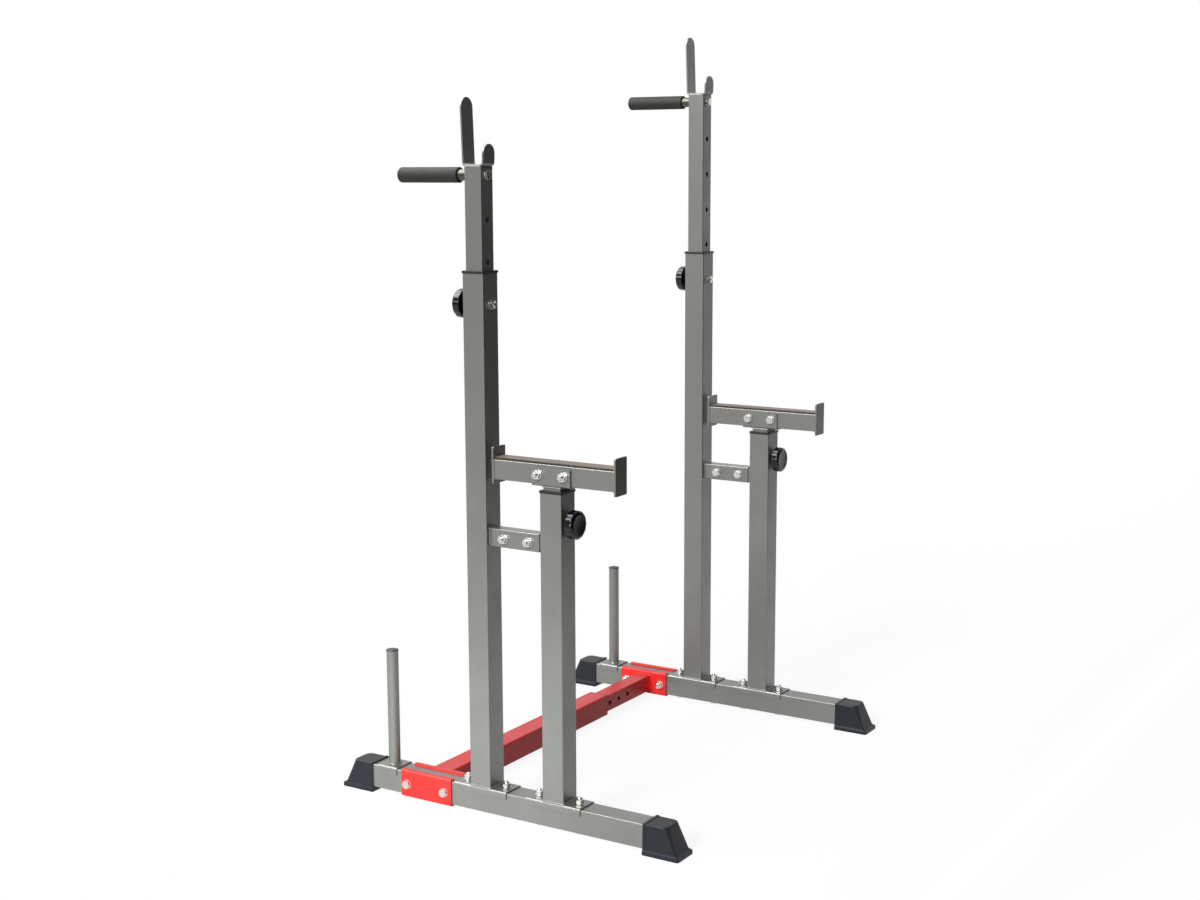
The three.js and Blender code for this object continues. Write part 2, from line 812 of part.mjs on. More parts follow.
// One side frame. outward is -1 for the left frame and +1 for the right one.
function sideFrame(side, outward, mastHole) {
  const frame = new THREE.Group();
  const name = (part) => side + "_" + part;
  frame.position.x = (outward * frameSpacing) / 2;

  frame.add(piece(name("base_beam"), baseBeam(), "greyPaint"));
  const frontFoot = piece(name("front_foot"), footCap().rotateZ(Math.PI), "blackPlastic");
  frontFoot.position.y = -footMouth;
  const rearFoot = piece(name("rear_foot"), footCap(), "blackPlastic");
  rearFoot.position.y = footMouth;
  const storage = piece(name("storage_peg"), storagePeg(), "greyPaint");
  storage.position.y = pegY;
  frame.add(frontFoot, rearFoot, storage);

  const middle = foot.sole + half;
  const halfSpacing = saddle.boltSpacing / 2;
  for (const [label, y] of [["upright", uprightY], ["post", postY]]) {
    frame.add(standingBolt(name(label + "_bolt_front"), y - halfSpacing));
    frame.add(standingBolt(name(label + "_bolt_rear"), y + halfSpacing));
  }
  const clampDepth = outerTube + 2 * clamp.thickness;
  for (const [label, end] of [["front", -1], ["rear", 1]]) {
    const y = crossbarY + (end * clamp.boltSpacing) / 2;
    frame.add(crossBolt(name("clamp_bolt_" + label), y, middle, clampDepth, outward));
  }
  const outerPlate = clampPlate();
  if (outward > 0) outerPlate.rotateZ(Math.PI);
  const plate = piece(name("clamp_plate"), outerPlate, "redPaint");
  plate.position.set(0, crossbarY, middle);
  frame.add(plate);

  const uprightGroup = new THREE.Group();
  uprightGroup.position.y = uprightY;
  uprightGroup.add(
    piece(name("upright"), upright(), "greyPaint"),
    piece(name("upright_collar"), tubeCollar(uprightTop), "blackPlastic"),
    layLock(piece(name("upright_stud"), lockStud(), "zinc"), 1, uprightLock),
    layLock(piece(name("upright_knob"), lockKnob(), "knobPlastic"), 1, uprightLock),
  );
  for (const [label, y] of [["rear", connectorBolts[0]], ["front", connectorBolts[1]]]) {
    const mesh = crossBolt(name("connector_bolt_" + label), -y, connectorMiddle, connector.width, -outward);
    uprightGroup.add(mesh);
  }
  const mastGroup = new THREE.Group();
  mastGroup.position.z = uprightLock + mastHole * mastPitch + mastFirstHole;
  const handle = [piece(name("dip_bar"), dipBar(), "zinc"), piece(name("dip_grip"), dipGrip(), "foam")];
  for (const part of handle) part.position.z = -dipHandle.drop;
  mastGroup.add(piece(name("mast"), mast(), "greyPaint"), ...handle);
  uprightGroup.add(mastGroup);

  const postGroup = new THREE.Group();
  postGroup.position.y = postY;
  postGroup.add(
    piece(name("safety_post"), safetyPost(), "greyPaint"),
    piece(name("post_collar"), tubeCollar(postTop), "blackPlastic"),
    layLock(piece(name("safety_stud"), lockStud(), "zinc"), -1, postLock),
    layLock(piece(name("safety_knob"), lockKnob(), "knobPlastic"), -1, postLock),
  );
  const stemGroup = new THREE.Group();
  stemGroup.position.z = cradleBottom;
  stemGroup.add(
    piece(name("safety_stem"), safetyStem(-outward), "greyPaint"),
    piece(name("spotter_arm"), spotterArm(), "greyPaint"),
    piece(name("spotter_pad"), spotterPad(), "rubber"),
  );
  postGroup.add(stemGroup);

  frame.add(uprightGroup, postGroup);
  return frame;
}

const squatStand = new THREE.Group();
squatStand.add(sideFrame("left", -1, leftMastHole), sideFrame("right", 1, rightMastHole));

const crossbar = new THREE.Group();
crossbar.position.set(0, crossbarY, foot.sole + half);
const sleeved = [
  piece("crossbar_sleeve", crossbarSleeve(), "redPaint"),
  piece("crossbar_bush", crossbarBush(), "blackPlastic"),
];
const widthLockBolt = piece("width_bolt", widthBolt(), "zinc");
widthLockBolt.geometry.translate(widthLock, 0, 0);
for (const mesh of [...sleeved, widthLockBolt]) mesh.position.x = -frameSpacing / 2;
const slider = piece("crossbar_slider", crossbarSlider(), "redPaint");
slider.position.x = frameSpacing / 2;
crossbar.add(...sleeved, widthLockBolt, slider);
squatStand.add(crossbar);

export default squatStand;
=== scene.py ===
# %% [markdown]
# # A squat stand of telescoping square tube
#
# The real stand is two side frames, joined by a crossbar. Each is welded and bolted together from
# 50 mm and 40 mm square steel tube, bent plate and moulded plastic. This lesson dresses a packed
# model of it: every rigid piece is built again with rounded edges, real bends, weld beads and
# threads, in the place that the imported model gives, and then gets its finish.
#
# The imported model is loaded first, because every place below is read from it.

# %% Load the imported model
import math

import bmesh
import bpy
from mathutils import Euler, Matrix, Vector, noise


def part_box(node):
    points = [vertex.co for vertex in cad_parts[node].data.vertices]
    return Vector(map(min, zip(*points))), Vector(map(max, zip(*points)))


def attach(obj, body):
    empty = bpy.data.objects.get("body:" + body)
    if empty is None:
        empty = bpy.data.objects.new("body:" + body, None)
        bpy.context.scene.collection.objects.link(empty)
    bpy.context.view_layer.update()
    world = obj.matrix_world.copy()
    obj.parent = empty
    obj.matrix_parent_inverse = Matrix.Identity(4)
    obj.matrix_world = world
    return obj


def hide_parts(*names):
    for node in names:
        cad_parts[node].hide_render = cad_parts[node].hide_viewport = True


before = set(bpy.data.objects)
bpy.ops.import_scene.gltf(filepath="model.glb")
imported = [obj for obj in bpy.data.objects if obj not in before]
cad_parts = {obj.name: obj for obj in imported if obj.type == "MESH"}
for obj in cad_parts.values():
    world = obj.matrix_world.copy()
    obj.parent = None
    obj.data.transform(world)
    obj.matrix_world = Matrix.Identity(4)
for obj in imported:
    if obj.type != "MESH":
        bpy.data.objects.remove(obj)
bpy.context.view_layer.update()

# %% [markdown]
# Metalwork is drawn in millimetres, and Blender works in metres. All meshes here are made in
# millimetres and scaled once, when they become objects. A node's two corners, turned into
# millimetres, say where its piece goes.

# %% Read places in millimetres
MM = 0.001


def corners(node):
    """The lowest and the highest corner of a node, in millimetres."""
    low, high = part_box(node)
    return low / MM, high / MM


def centre(node):
    """The middle of a node's box, in millimetres."""
    low, high = corners(node)
    return (low + high) / 2


print("left beam", *[tuple(round(c, 1) for c in corner) for corner in corners("left_base_beam")])

# %% [markdown]
# ## Finishes
#
# Every finish is a network of nodes on one Principled shader. Colours are written as the hex
# values of a colour picker, and one function turns them into the linear light that a shader wants.
# A pattern is drawn in object coordinates, in metres, so that its scale can be worked out from the
# size in millimetres of the real grain.


def linear(code):
    """An sRGB hex colour as linear red, green, blue and alpha."""
    parts = [int(code[i:i + 2], 16) / 255 for i in (1, 3, 5)]
    return [c / 12.92 if c <= 0.04045 else ((c + 0.055) / 1.055) ** 2.4 for c in parts] + [1]


def per_mm(size):
    """The scale of a texture whose grain has this size in millimetres."""
    return 1 / (size * MM)


def add(tree, kind, inputs=None, **settings):
    """Adds a node with its settings. An input that is given a socket is linked, any other is set."""
    node = tree.nodes.new(kind)
    for name, value in settings.items():
        setattr(node, name, value)
    for socket, value in (inputs or {}).items():
        if isinstance(value, bpy.types.NodeSocket):
            tree.links.new(value, node.inputs[socket])
        else:
            node.inputs[socket].default_value = value
    return node


print("half grey in linear light", round(linear("#808080")[0], 3))


# %% Patterns and shaders
def combined(tree, operation, first, second, clamp=False):
    """The result of one operation on two values."""
    inputs = {0: first, 1: second}
    return add(tree, "ShaderNodeMath", inputs, operation=operation, use_clamp=clamp).outputs[0]


def grain(tree, place, size, detail=2):
    """A noise whose grain has this size in millimetres."""
    inputs = {"Vector": place, "Scale": per_mm(size), "Detail": detail}
    return add(tree, "ShaderNodeTexNoise", inputs).outputs[0]


def shaded(name, constants):
    """A new material, its tree and its shader, with constants on the shader's sockets."""
    material = bpy.data.materials.new(name)
    material.use_nodes = True
    shader = material.node_tree.nodes["Principled BSDF"]
    for socket, value in constants.items():
        shader.inputs[socket].default_value = value
    return material, material.node_tree, shader


def finish(name, constants):
    """Starts a finish: its material, tree and shader, and the coordinates of what wears it."""
    material, tree, shader = shaded(name, constants)
    return material, tree, shader, add(tree, "ShaderNodeTexCoord").outputs["Object"]


def patterned(tree, shader, tones, colour, gloss, spread, relief, strength, depth):
    """Lets one pattern mix two tones, one spread the roughness and one raise a relief."""
    blend = {0: colour, 6: linear(tones[0]), 7: linear(tones[1])}
    mixed = add(tree, "ShaderNodeMix", blend, data_type="RGBA")
    tree.links.new(mixed.outputs[2], shader.inputs["Base Color"])
    span = {"Value": gloss, "To Min": spread[0], "To Max": spread[1]}
    tree.links.new(add(tree, "ShaderNodeMapRange", span).outputs[0], shader.inputs["Roughness"])
    bump = {"Strength": strength, "Distance": depth * MM, "Height": relief}
    tree.links.new(add(tree, "ShaderNodeBump", bump).outputs[0], shader.inputs["Normal"])


print("a grain of 5 mm has a scale of", round(per_mm(5)))

# %% [markdown]
# The tubes and plates wear a metallic polyester powder coat. It is sprayed as a dry powder and
# melted in an oven, which leaves a skin that flows over every edge and weld, with a faint orange
# peel, and fine aluminium flakes that make some spots lighter than others. The network mixes two
# tones by a fine noise, for the flakes, and by a broad one, for the uneven coat. The same mix drives
# the roughness, and a noise of the size of the peel drives the bump. The red parts have the same
# coat without metal in it, so one function makes both.
#
# Flakes are a few hundredths of a millimetre wide, which is too fine for a picture of the whole
# stand, so they are drawn 1.1 mm wide.

# %% Powder coats
FLAKE_SIZE, PEEL_SIZE, CLOUD_SIZE = 1.1, 2.6, 70
PEEL = {"strength": 0.35, "depth": 0.04}
CLEAR_SKIN = {"Coat Weight": 0.12, "Coat Roughness": 0.3}


def powder_coat(name, tones, metallic, roughness, flake, gleam=0.5):
    """A powder coat of two tones. Flake says how strongly its fine grain shows."""
    constants = {"Metallic": metallic, "Specular IOR Level": gleam, **CLEAR_SKIN}
    material, tree, shader, place = finish(name, constants)
    fine = combined(tree, "SUBTRACT", grain(tree, place, FLAKE_SIZE), 0.5)
    fine = combined(tree, "MULTIPLY", fine, flake)
    shade = combined(tree, "ADD", grain(tree, place, CLOUD_SIZE, 3), fine, clamp=True)
    spread = (roughness + 0.06, roughness - 0.06)
    patterned(tree, shader, tones, shade, shade, spread, grain(tree, place, PEEL_SIZE), **PEEL)
    return material


grey_coat = powder_coat(
    "grey_metallic_powder_coat", ("#7C7D79", "#8D8E8A"), 0.58, 0.4, 1.4
)
red_coat = powder_coat("red_powder_coat", ("#F22C29", "#FF3835"), 0, 0.36, 0.4, 0.22)
print("powder coats", grey_coat.name, red_coat.name)

# %% [markdown]
# Nuts, bolts and studs are steel with a bright zinc plate, and the dip bars are drawn tube with the
# same plate. Zinc is a metal, so it has no colour of its own but tints what it mirrors. A thin layer
# that was passivated in a bath shows faint warm and cool patches, which a noise of a few millimetres
# mixes in. On the drawn tube the noise is stretched along the bar, as the die leaves its lines.

# %% Zinc plate
PATCH_SIZE, LINE_SIZE = 5, 0.9
DRAWN_LINES = {"strength": 0.2, "depth": 0.02}


def stretched(tree, place, scale):
    """Coordinates in which a pattern is drawn out where the scale is small."""
    return add(tree, "ShaderNodeMapping", {"Vector": place, "Scale": scale}).outputs[0]


def zinc_plate(name, tones, roughness, stretch=(1, 1, 1)):
    """Bright zinc plate whose grain can be stretched along the way that the steel was drawn."""
    material, tree, shader, place = finish(name, {"Metallic": 1})
    drawn = stretched(tree, place, stretch)
    patch, lines = grain(tree, drawn, PATCH_SIZE), grain(tree, drawn, LINE_SIZE)
    spread = (roughness - 0.06, roughness + 0.08)
    patterned(tree, shader, tones, patch, patch, spread, lines, **DRAWN_LINES)
    return material


bright_zinc = zinc_plate("bright_zinc_plate", ("#CFD0D1", "#E2DFD4"), 0.26)
# Painted shade: the drawn tube wears the same zinc plate as the bolts, but its tones are far darker,
# standing in for the dim surroundings that the bars mirror.
drawn_zinc_painted_shade = zinc_plate("zinc_plated_drawn_tube_painted_shade", ("#4A4B45", "#5B5A54"), 0.34, (1, 0.04, 1))
print("zinc plates", bright_zinc.name, drawn_zinc_painted_shade.name)

# %% [markdown]
# The plastics are injection moulded. The feet are polypropylene from a mould with a spark-eroded
# texture, which is satin and slightly blue. The tube bushes are nylon, nearly black, the caps of the
# pegs are polyethylene, and the knobs are ABS from a polished mould, so they shine. All four share a
# network: a grain for the texture of the mould and a broad noise for the flow of the plastic.

# %% Moulded plastics
FLOW_SIZE = 22
MOULD_RELIEF = 0.4


def moulded(name, tones, ior, roughness, texture, depth, gleam=0.5):
    """A moulded plastic. Texture is the size in millimetres of the mould's grain, depth its relief."""
    material, tree, shader, place = finish(name, {"IOR": ior, "Specular IOR Level": gleam})
    fine, flow = grain(tree, place, texture, 3), grain(tree, place, FLOW_SIZE)
    spread = (roughness - 0.05, roughness + 0.05)
    patterned(tree, shader, tones, flow, fine, spread, fine, MOULD_RELIEF, depth)
    return material


foot_plastic = moulded(
    "moulded_polypropylene", ("#171B20", "#20262C"), 1.49, 0.46, 1.2, 0.05, 0.3
)
bush_plastic = moulded(
    "moulded_nylon", ("#121315", "#1B1C1F"), 1.53, 0.42, 0.9, 0.02
)
knob_plastic = moulded(
    "polished_abs", ("#0B0D12", "#13171F"), 1.54, 0.22, 2.4, 0.01, 0.35
)
cap_plastic = moulded(
    "moulded_polyethylene", ("#252A33", "#31363F"), 1.51, 0.38, 0.9, 0.02
)
print("plastics", foot_plastic.name, bush_plastic.name, knob_plastic.name, cap_plastic.name)

# %% [markdown]
# The dip handles wear sleeves of closed-cell NBR foam, and the spotter arms a strip of extruded EPDM
# rubber. Foam scatters light in its open surface cells, so it is rough, with a little sheen, and its
# cells are a Voronoi pattern. The rubber is smoother, but the dust on it shines at a low angle, and
# the die that it was pressed through leaves fine lines along it. The cells are a few tenths of a
# millimetre wide and are drawn 0.9 mm wide.

# %% Foam and rubber
SOFT = {
    "IOR": 1.5, "Specular IOR Level": 0.35, "Sheen Roughness": 0.5, "Sheen Tint": linear("#FFE8D6"),
}
WEAR_SIZE = 14
CELL_RELIEF = 0.6


def soft_finish(name, tones, roughness, sheen, cell, stretch, depth):
    """Foam or rubber. Cell is the size in millimetres of its pores, or of the lines along it."""
    material, tree, shader, place = finish(name, {**SOFT, "Sheen Weight": sheen})
    cells = {"Vector": stretched(tree, place, stretch), "Scale": per_mm(cell)}
    cells = add(tree, "ShaderNodeTexVoronoi", cells).outputs["Distance"]
    cloud = grain(tree, place, WEAR_SIZE, 4)
    spread = (roughness - 0.08, roughness + 0.08)
    patterned(tree, shader, tones, cloud, cloud, spread, cells, CELL_RELIEF, depth)
    return material


grip_foam = soft_finish(
    "closed_cell_nbr_foam", ("#1E1F1C", "#2A2B27"), 0.72, 0.15, 0.9, (1, 1, 1), 0.15
)
strip_rubber = soft_finish(
    "extruded_epdm_rubber", ("#211C19", "#2F2824"), 0.46, 0.6, 1.2, (1, 0.05, 1), 0.04
)
print("soft finishes", grip_foam.name, strip_rubber.name)

# %% [markdown]
# ## Making solids
#
# A tube, a plate, a nut or a knob is a row of closed rings joined by faces, so one function makes
# them all from their rings. It could be done with Blender's own primitives and modifiers, but rings
# keep every arc in the hands of a named radius, and the result is always one closed solid.

# %% Rings and skins
FINE_SIDES = 64


def rounded(width, height, radius, steps=6):
    """The points of a rectangle with round corners, anticlockwise, centred on zero."""
    points = []
    for quarter, (x, y) in enumerate([(1, 1), (-1, 1), (-1, -1), (1, -1)]):
        for step in range(steps + 1):
            angle = (quarter + step / steps) * math.pi / 2
            across = x * (width / 2 - radius) + radius * math.cos(angle)
            points.append((across, y * (height / 2 - radius) + radius * math.sin(angle)))
    return points


def level(outline, height):
    """An outline lifted to a height."""
    return [(x, y, height) for x, y in outline]


def skinned(rings, closed=False):
    """One closed solid through rings of equal counts. A closed one is a ring itself."""
    mesh = bmesh.new()
    rows = [[mesh.verts.new(point) for point in ring] for ring in rings]
    for low, high in zip(rows, rows[1:] + rows[:1] if closed else rows[1:]):
        for i, start in enumerate(low):
            j = (i + 1) % len(low)
            mesh.faces.new((start, low[j], high[j], high[i]))
    if not closed:
        mesh.faces.new(rows[0])
        mesh.faces.new(rows[-1])
    bmesh.ops.recalc_face_normals(mesh, faces=mesh.faces)
    return mesh


def extruded(outline, low, high):
    """A solid of constant section along Z."""
    return skinned([level(outline, low), level(outline, high)])


def full_turn(count):
    """The angles of a full turn in equal steps."""
    return [2 * math.pi * i / count for i in range(count)]


def turned(profile, sides=48, closed=False, radius_at=lambda radius, height, angle: radius):
    """A solid turned about Z from radius and height pairs. Radius_at can flute it or cut a thread."""
    rings = []
    for radius, height in profile:
        reach = [(radius_at(radius, height, a), a) for a in full_turn(sides)]
        rings.append([(r * math.cos(a), r * math.sin(a), height) for r, a in reach])
    return skinned(rings, closed)


print("a rounded rectangle has", len(rounded(50, 50, 3.5)), "points")

# %% [markdown]
# Solids are turned, moved, joined and cut before they become objects. Cutting is a job for the exact
# boolean, which works on objects, so a function makes two for it and throws them away afterwards. A
# file breaks every sharp edge of sheet metal, and paint rounds it further, so edges are bevelled by a
# few tenths of a millimetre: without that they'd catch no light.

# %% Turn, move and join
def moved(mesh, x=0, y=0, z=0):
    """Moves a mesh and gives it back."""
    bmesh.ops.translate(mesh, verts=mesh.verts, vec=(x, y, z))
    return mesh


def turn(mesh, axis, degrees):
    """Turns a mesh about an axis through zero and gives it back."""
    rotation = Matrix.Rotation(math.radians(degrees), 3, axis)
    bmesh.ops.rotate(mesh, verts=mesh.verts, matrix=rotation)
    return mesh


def along_x(mesh):
    """Lays along X what was made along Z. Its x becomes -Z."""
    return turn(mesh, "Y", 90)


def along_y(mesh):
    """Lays along Y what was made along Z. Its y becomes -Z."""
    return turn(mesh, "X", -90)


def joined(meshes):
    """All the meshes in one."""
    whole = bmesh.new()
    for mesh in meshes:
        part = bpy.data.meshes.new("part")
        mesh.to_mesh(part)
        mesh.free()
        whole.from_mesh(part)
        bpy.data.meshes.remove(part)
    return whole


rod = along_x(turned([(1, 0), (1, 5)], 8))
print("a rod laid along X ends at", round(max(point.co.x for point in rod.verts), 3), "mm")
rod.free()


# %% Cut and file
def boolean(mesh, tool, operation="DIFFERENCE"):
    """The exact boolean of two meshes."""
    objects = []
    for name, part in (("body", mesh), ("tool", tool)):
        data = bpy.data.meshes.new(name)
        part.to_mesh(data)
        part.free()
        objects.append(bpy.data.objects.new(name, data))
        bpy.context.scene.collection.objects.link(objects[-1])
    body, cutter = objects
    modifier = body.modifiers.new("cut", "BOOLEAN")
    modifier.operation = operation
    modifier.solver = "EXACT"
    modifier.object = cutter
    evaluated = body.evaluated_get(bpy.context.evaluated_depsgraph_get())
    result = bmesh.new()
    result.from_mesh(evaluated.to_mesh())
    for thing in objects:
        data = thing.data
        bpy.data.objects.remove(thing)
        bpy.data.meshes.remove(data)
    return result


def filed(mesh, width=0.4, sharp=50):
    """Bevels the edges that turn by more than the angle given."""
    limit = math.radians(sharp)
    edges = [e for e in mesh.edges if len(e.link_faces) == 2 and e.calc_face_angle(0) > limit]
    bmesh.ops.bevel(mesh, geom=edges, offset=width, segments=2, profile=0.6, affect="EDGES")
    return mesh


block = filed(extruded(rounded(10, 10, 2), 0, 10))
print("a filed block has", len(block.faces), "faces")
block.free()

# %% [markdown]
# A round hole is cut by a cylinder. Holes are given by their axis and by a point on it.

# %% Drill
HOLE_SIDES = 40
# How far a cutter reaches through a whole tube, through a plate and through one wall.
TUBE_REACH, PLATE_REACH, WALL_REACH = 60, 20, 10


def drill(axis, point, radius, reach):
    """A cylinder that cuts a hole along X, Y or Z through a point, as far as reach on both sides."""
    cylinder = turned([(radius, -reach), (radius, reach)], HOLE_SIDES)
    if axis == "X":
        along_x(cylinder)
    if axis == "Y":
        along_y(cylinder)
    return moved(cylinder, *point)


def drilled(mesh, holes):
    """The mesh with its holes cut, and their rims broken."""
    return filed(boolean(mesh, joined([drill(*hole) for hole in holes])), 0.35, 60)


print("a hole has", HOLE_SIDES, "sides")

# %% [markdown]
# A finished mesh becomes an object that rides on one body of the stand. Faces are smooth, except
# across real edges, and weighted normals keep the flats flat beside their small round corners.

# %% Make a piece
def piece(name, mesh, material, body, *nodes):
    """Turns a mesh in millimetres into an object that rides on a body and stands for its nodes."""
    bmesh.ops.scale(mesh, verts=mesh.verts, vec=(MM, MM, MM))
    data = bpy.data.meshes.new(name)
    mesh.to_mesh(data)
    mesh.free()
    data.shade_smooth()
    data.set_sharp_from_angle(angle=math.radians(38))
    data.materials.append(material)
    thing = bpy.data.objects.new(name, data)
    bpy.context.scene.collection.objects.link(thing)
    weighted = thing.modifiers.new("flat faces", "WEIGHTED_NORMAL")
    weighted.keep_sharp = True
    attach(thing, body)
    if nodes:
        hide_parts(*nodes)
    return thing


# %% [markdown]
# ## Square tube, bent plate and welds
#
# Square tube is rolled from a round one, so its corners are round on the outside and its walls are
# even. The saw leaves square ends, which are filed.

# %% Square tube
OUTER = {"size": 50, "wall": 2, "corner": 2.4}
INNER = {"size": 40, "wall": 2, "corner": 2}


def tube(width, height, wall, corner, low, high, edge=0.4):
    """A hollow rectangular tube along Z with filed ends."""

    def ring(inset, z):
        outline = rounded(width - 2 * inset, height - 2 * inset, max(corner - inset, edge))
        return level(outline, z)

    return skinned([
        ring(0, low + edge), ring(edge, low), ring(wall - edge, low), ring(wall, low + edge),
        ring(wall, high - edge), ring(wall - edge, high), ring(edge, high), ring(0, high - edge),
    ], closed=True)


def square_tube(stock, low, high):
    """A length of the outer or the inner stock along Z."""
    return tube(stock["size"], stock["size"], stock["wall"], stock["corner"], low, high)


print("square stock", OUTER["size"], "and", INNER["size"], "mm wide")

# %% [markdown]
# The stand is MIG welded. A bead is a rope of small overlapping pools, a step of the welder's hand
# apart, and it stays visible under the paint. It is a round section swept along the joint, whose
# radius swells once every step, with a little noise because no hand is even.

# %% Weld beads
BEAD = {"step": 3.2, "sides": 8, "spacing": 0.8, "waist": 0.86, "swell": 0.16, "uneven": 0.06}


def bead(path, radius, facing, closed=True):
    """A bead along points that lie in a plane, facing along that plane's normal."""
    points = [Vector(point) for point in path]
    ends = points[1:] + points[:1] if closed else points[1:]
    places = []
    for start, end in zip(points, ends):
        count = max(1, round((end - start).length / BEAD["spacing"]))
        places += [start.lerp(end, i / count) for i in range(count)]
    if not closed:
        places.append(points[-1])
    out = Vector(facing)
    around = full_turn(BEAD["sides"])
    travelled = 0
    rings = []
    for i, place in enumerate(places):
        before = places[i - 1] if closed or i else place
        after = places[(i + 1) % len(places)] if closed or i + 1 < len(places) else place
        travelled += (place - before).length
        side = out.cross(after - before).normalized()
        swell = BEAD["waist"] + BEAD["swell"] * abs(math.sin(math.pi * travelled / BEAD["step"]))
        reach = radius * (swell + BEAD["uneven"] * noise.noise(place * 0.3))
        rings.append([place + reach * (math.cos(a) * side + math.sin(a) * out) for a in around])
    return skinned(rings, closed)


def box_weld(width, height, corner, radius):
    """A bead round the foot of a rectangular tube that stands on zero, along Z."""
    return bead(level(rounded(width, height, corner, 3), 0.5), radius, (0, 0, 1))


def tube_weld(stock, radius=2.2):
    """A bead round the foot of a square tube that stands on zero, along Z."""
    return box_weld(stock["size"], stock["size"], stock["corner"], radius)


print("the pools of a bead are", BEAD["step"], "mm apart")

# %% [markdown]
# Under each upright, post and peg a plate of 3 mm steel is bent over the beam. A press brake leaves
# round bends: the inside follows the round corner of the beam, and the outside is wider by the
# thickness of the plate. The plate is one section, extruded along the beam.

# %% Saddle plates
SADDLE = {"thickness": 3, "lip": 12, "length": 130, "bolts": 96}


def arc(x, y, radius, start, end, steps=6):
    """Points on an arc about a centre, between two angles in degrees."""
    angles = [math.radians(start + (end - start) * i / steps) for i in range(steps + 1)]
    return [(x + radius * math.cos(a), y + radius * math.sin(a)) for a in angles]


def folded(outline, length):
    """A bent section, given in X and Z, along Y."""
    return along_y(extruded([(x, -z) for x, z in outline], -length / 2, length / 2))


def saddle(length):
    """A saddle plate along Y, whose upper face is at zero."""
    thickness, bend = SADDLE["thickness"], OUTER["corner"]
    half = OUTER["size"] / 2
    foot = -thickness - SADDLE["lip"]
    x, z = half - bend, -thickness - bend
    outline = [(half + thickness, foot)]
    outline += arc(x, z, bend + thickness, 0, 90) + arc(-x, z, bend + thickness, 90, 180)
    outline += [(-half - thickness, foot), (-half, foot)]
    outline += arc(-x, z, bend, 180, 90) + arc(x, z, bend, 90, 0) + [(half, foot)]
    return filed(folded(outline, length), 0.6)


print("saddles", SADDLE["length"], "mm long and", SADDLE["thickness"], "mm thick")

# %% [markdown]
# ## Fasteners
#
# A nut or a bolt's head is a hexagon whose corners are turned off at 30 degrees, which leaves the
# well-known arcs on its flats. Its rings follow the hexagon, and the height of the upper one falls
# where the hexagon reaches beyond the turned circle.

# %% Hexagons
BOLT = {"radius": 5, "head": 6.5, "nut": 8, "flats": 16, "washer": 2, "washer_radius": 10, "tip": 4}
HEX_SIDES = 48
CHAMFER_SHARE = 0.94


def hexagon(flats, low, high, bore=None, lower_chamfer=True):
    """A hexagon along Z with turned corners, and a bore if it is a nut."""
    angles = full_turn(HEX_SIDES)
    reach = [flats / 2 / math.cos((a + math.pi / 6) % (math.pi / 3) - math.pi / 6) for a in angles]
    circle = flats / 2 * CHAMFER_SHARE
    drop = [max(0, r - circle) * math.tan(math.pi / 6) for r in reach]

    def ring(radii, heights):
        return [(r * math.cos(a), r * math.sin(a), z) for r, a, z in zip(radii, angles, heights)]

    def round_ring(radius, height):
        return ring([radius] * HEX_SIDES, [height] * HEX_SIDES)

    sides = [ring(reach, [high - d for d in drop])]
    if lower_chamfer:
        sides = [round_ring(circle, low), ring(reach, [low + d for d in drop])] + sides
    else:
        sides = [ring(reach, [low] * HEX_SIDES)] + sides
    sides.append(round_ring(circle, high))
    if bore is None:
        return skinned(sides)
    lead = 0.7
    sides += [round_ring(bore + lead, high), round_ring(bore, high - lead)]
    sides += [round_ring(bore, low + lead), round_ring(bore + lead, low)]
    return skinned(sides, closed=True)


print("hexagons", BOLT["flats"], "mm across flats")

# %% [markdown]
# A thread is a groove that climbs by one pitch each turn. On a turned rod it is a radius that depends
# on the height and on the angle together, so the rings of the rod are only pushed in and out. The
# thread is cut where it shows, and the shank behind it stays plain.

# %% Threaded rods and bolts
PITCH = 1.5
THREAD_DEPTH = 0.8
THREAD_STEPS = 6
ROD_SIDES = 24
rod_radius = BOLT["radius"] - 0.05


def threaded(radius, plain, start, end):
    """A rod along Z: plain up to start, then threaded, with a chamfered end."""

    def crest(reach, height, angle):
        if reach < radius - 0.01 or height <= start:
            return reach
        phase = (height / PITCH - angle / (2 * math.pi)) % 1
        return reach - THREAD_DEPTH * abs(2 * phase - 1)

    lead = 1.2
    count = max(1, math.ceil((end - lead - start) / PITCH * THREAD_STEPS))
    profile = [(radius - 0.5, plain), (radius, plain + 0.5), (radius, start)]
    profile += [(radius, start + (end - lead - start) * (i + 1) / count) for i in range(count)]
    profile += [(radius - THREAD_DEPTH - 0.2, end - 0.2), (radius - THREAD_DEPTH - 0.6, end)]
    return turned(profile, ROD_SIDES, radius_at=crest)


def washer(low, high, radius=BOLT["washer_radius"], bore=BOLT["radius"] + 0.3):
    """A stamped washer with edges that the die has rounded on one side."""
    edge = 0.5
    profile = [(bore, low), (radius - 0.2, low), (radius, low + 0.2), (radius, high - edge)]
    profile += [(radius - 0.15, high - 0.15), (radius - edge, high), (bore + 0.2, high)]
    return turned(profile, 40, closed=True)


def bolt_and_nut(depth):
    """A hex bolt along Z with washers and a nut, its head below zero, through a total depth."""
    seat = depth + BOLT["washer"]
    end = seat + BOLT["nut"] + BOLT["tip"]
    head = turn(hexagon(BOLT["flats"], BOLT["washer"], BOLT["washer"] + BOLT["head"]), "X", 180)
    return joined([
        head,
        turn(washer(0, BOLT["washer"]), "X", 180),
        threaded(rod_radius, -BOLT["washer"], seat - 3, end),
        washer(depth, seat),
        turn(hexagon(BOLT["flats"], seat, seat + BOLT["nut"], BOLT["radius"]), "Z", 14),
    ])


print("a bolt has", THREAD_STEPS, "rings to each pitch of", PITCH, "mm")

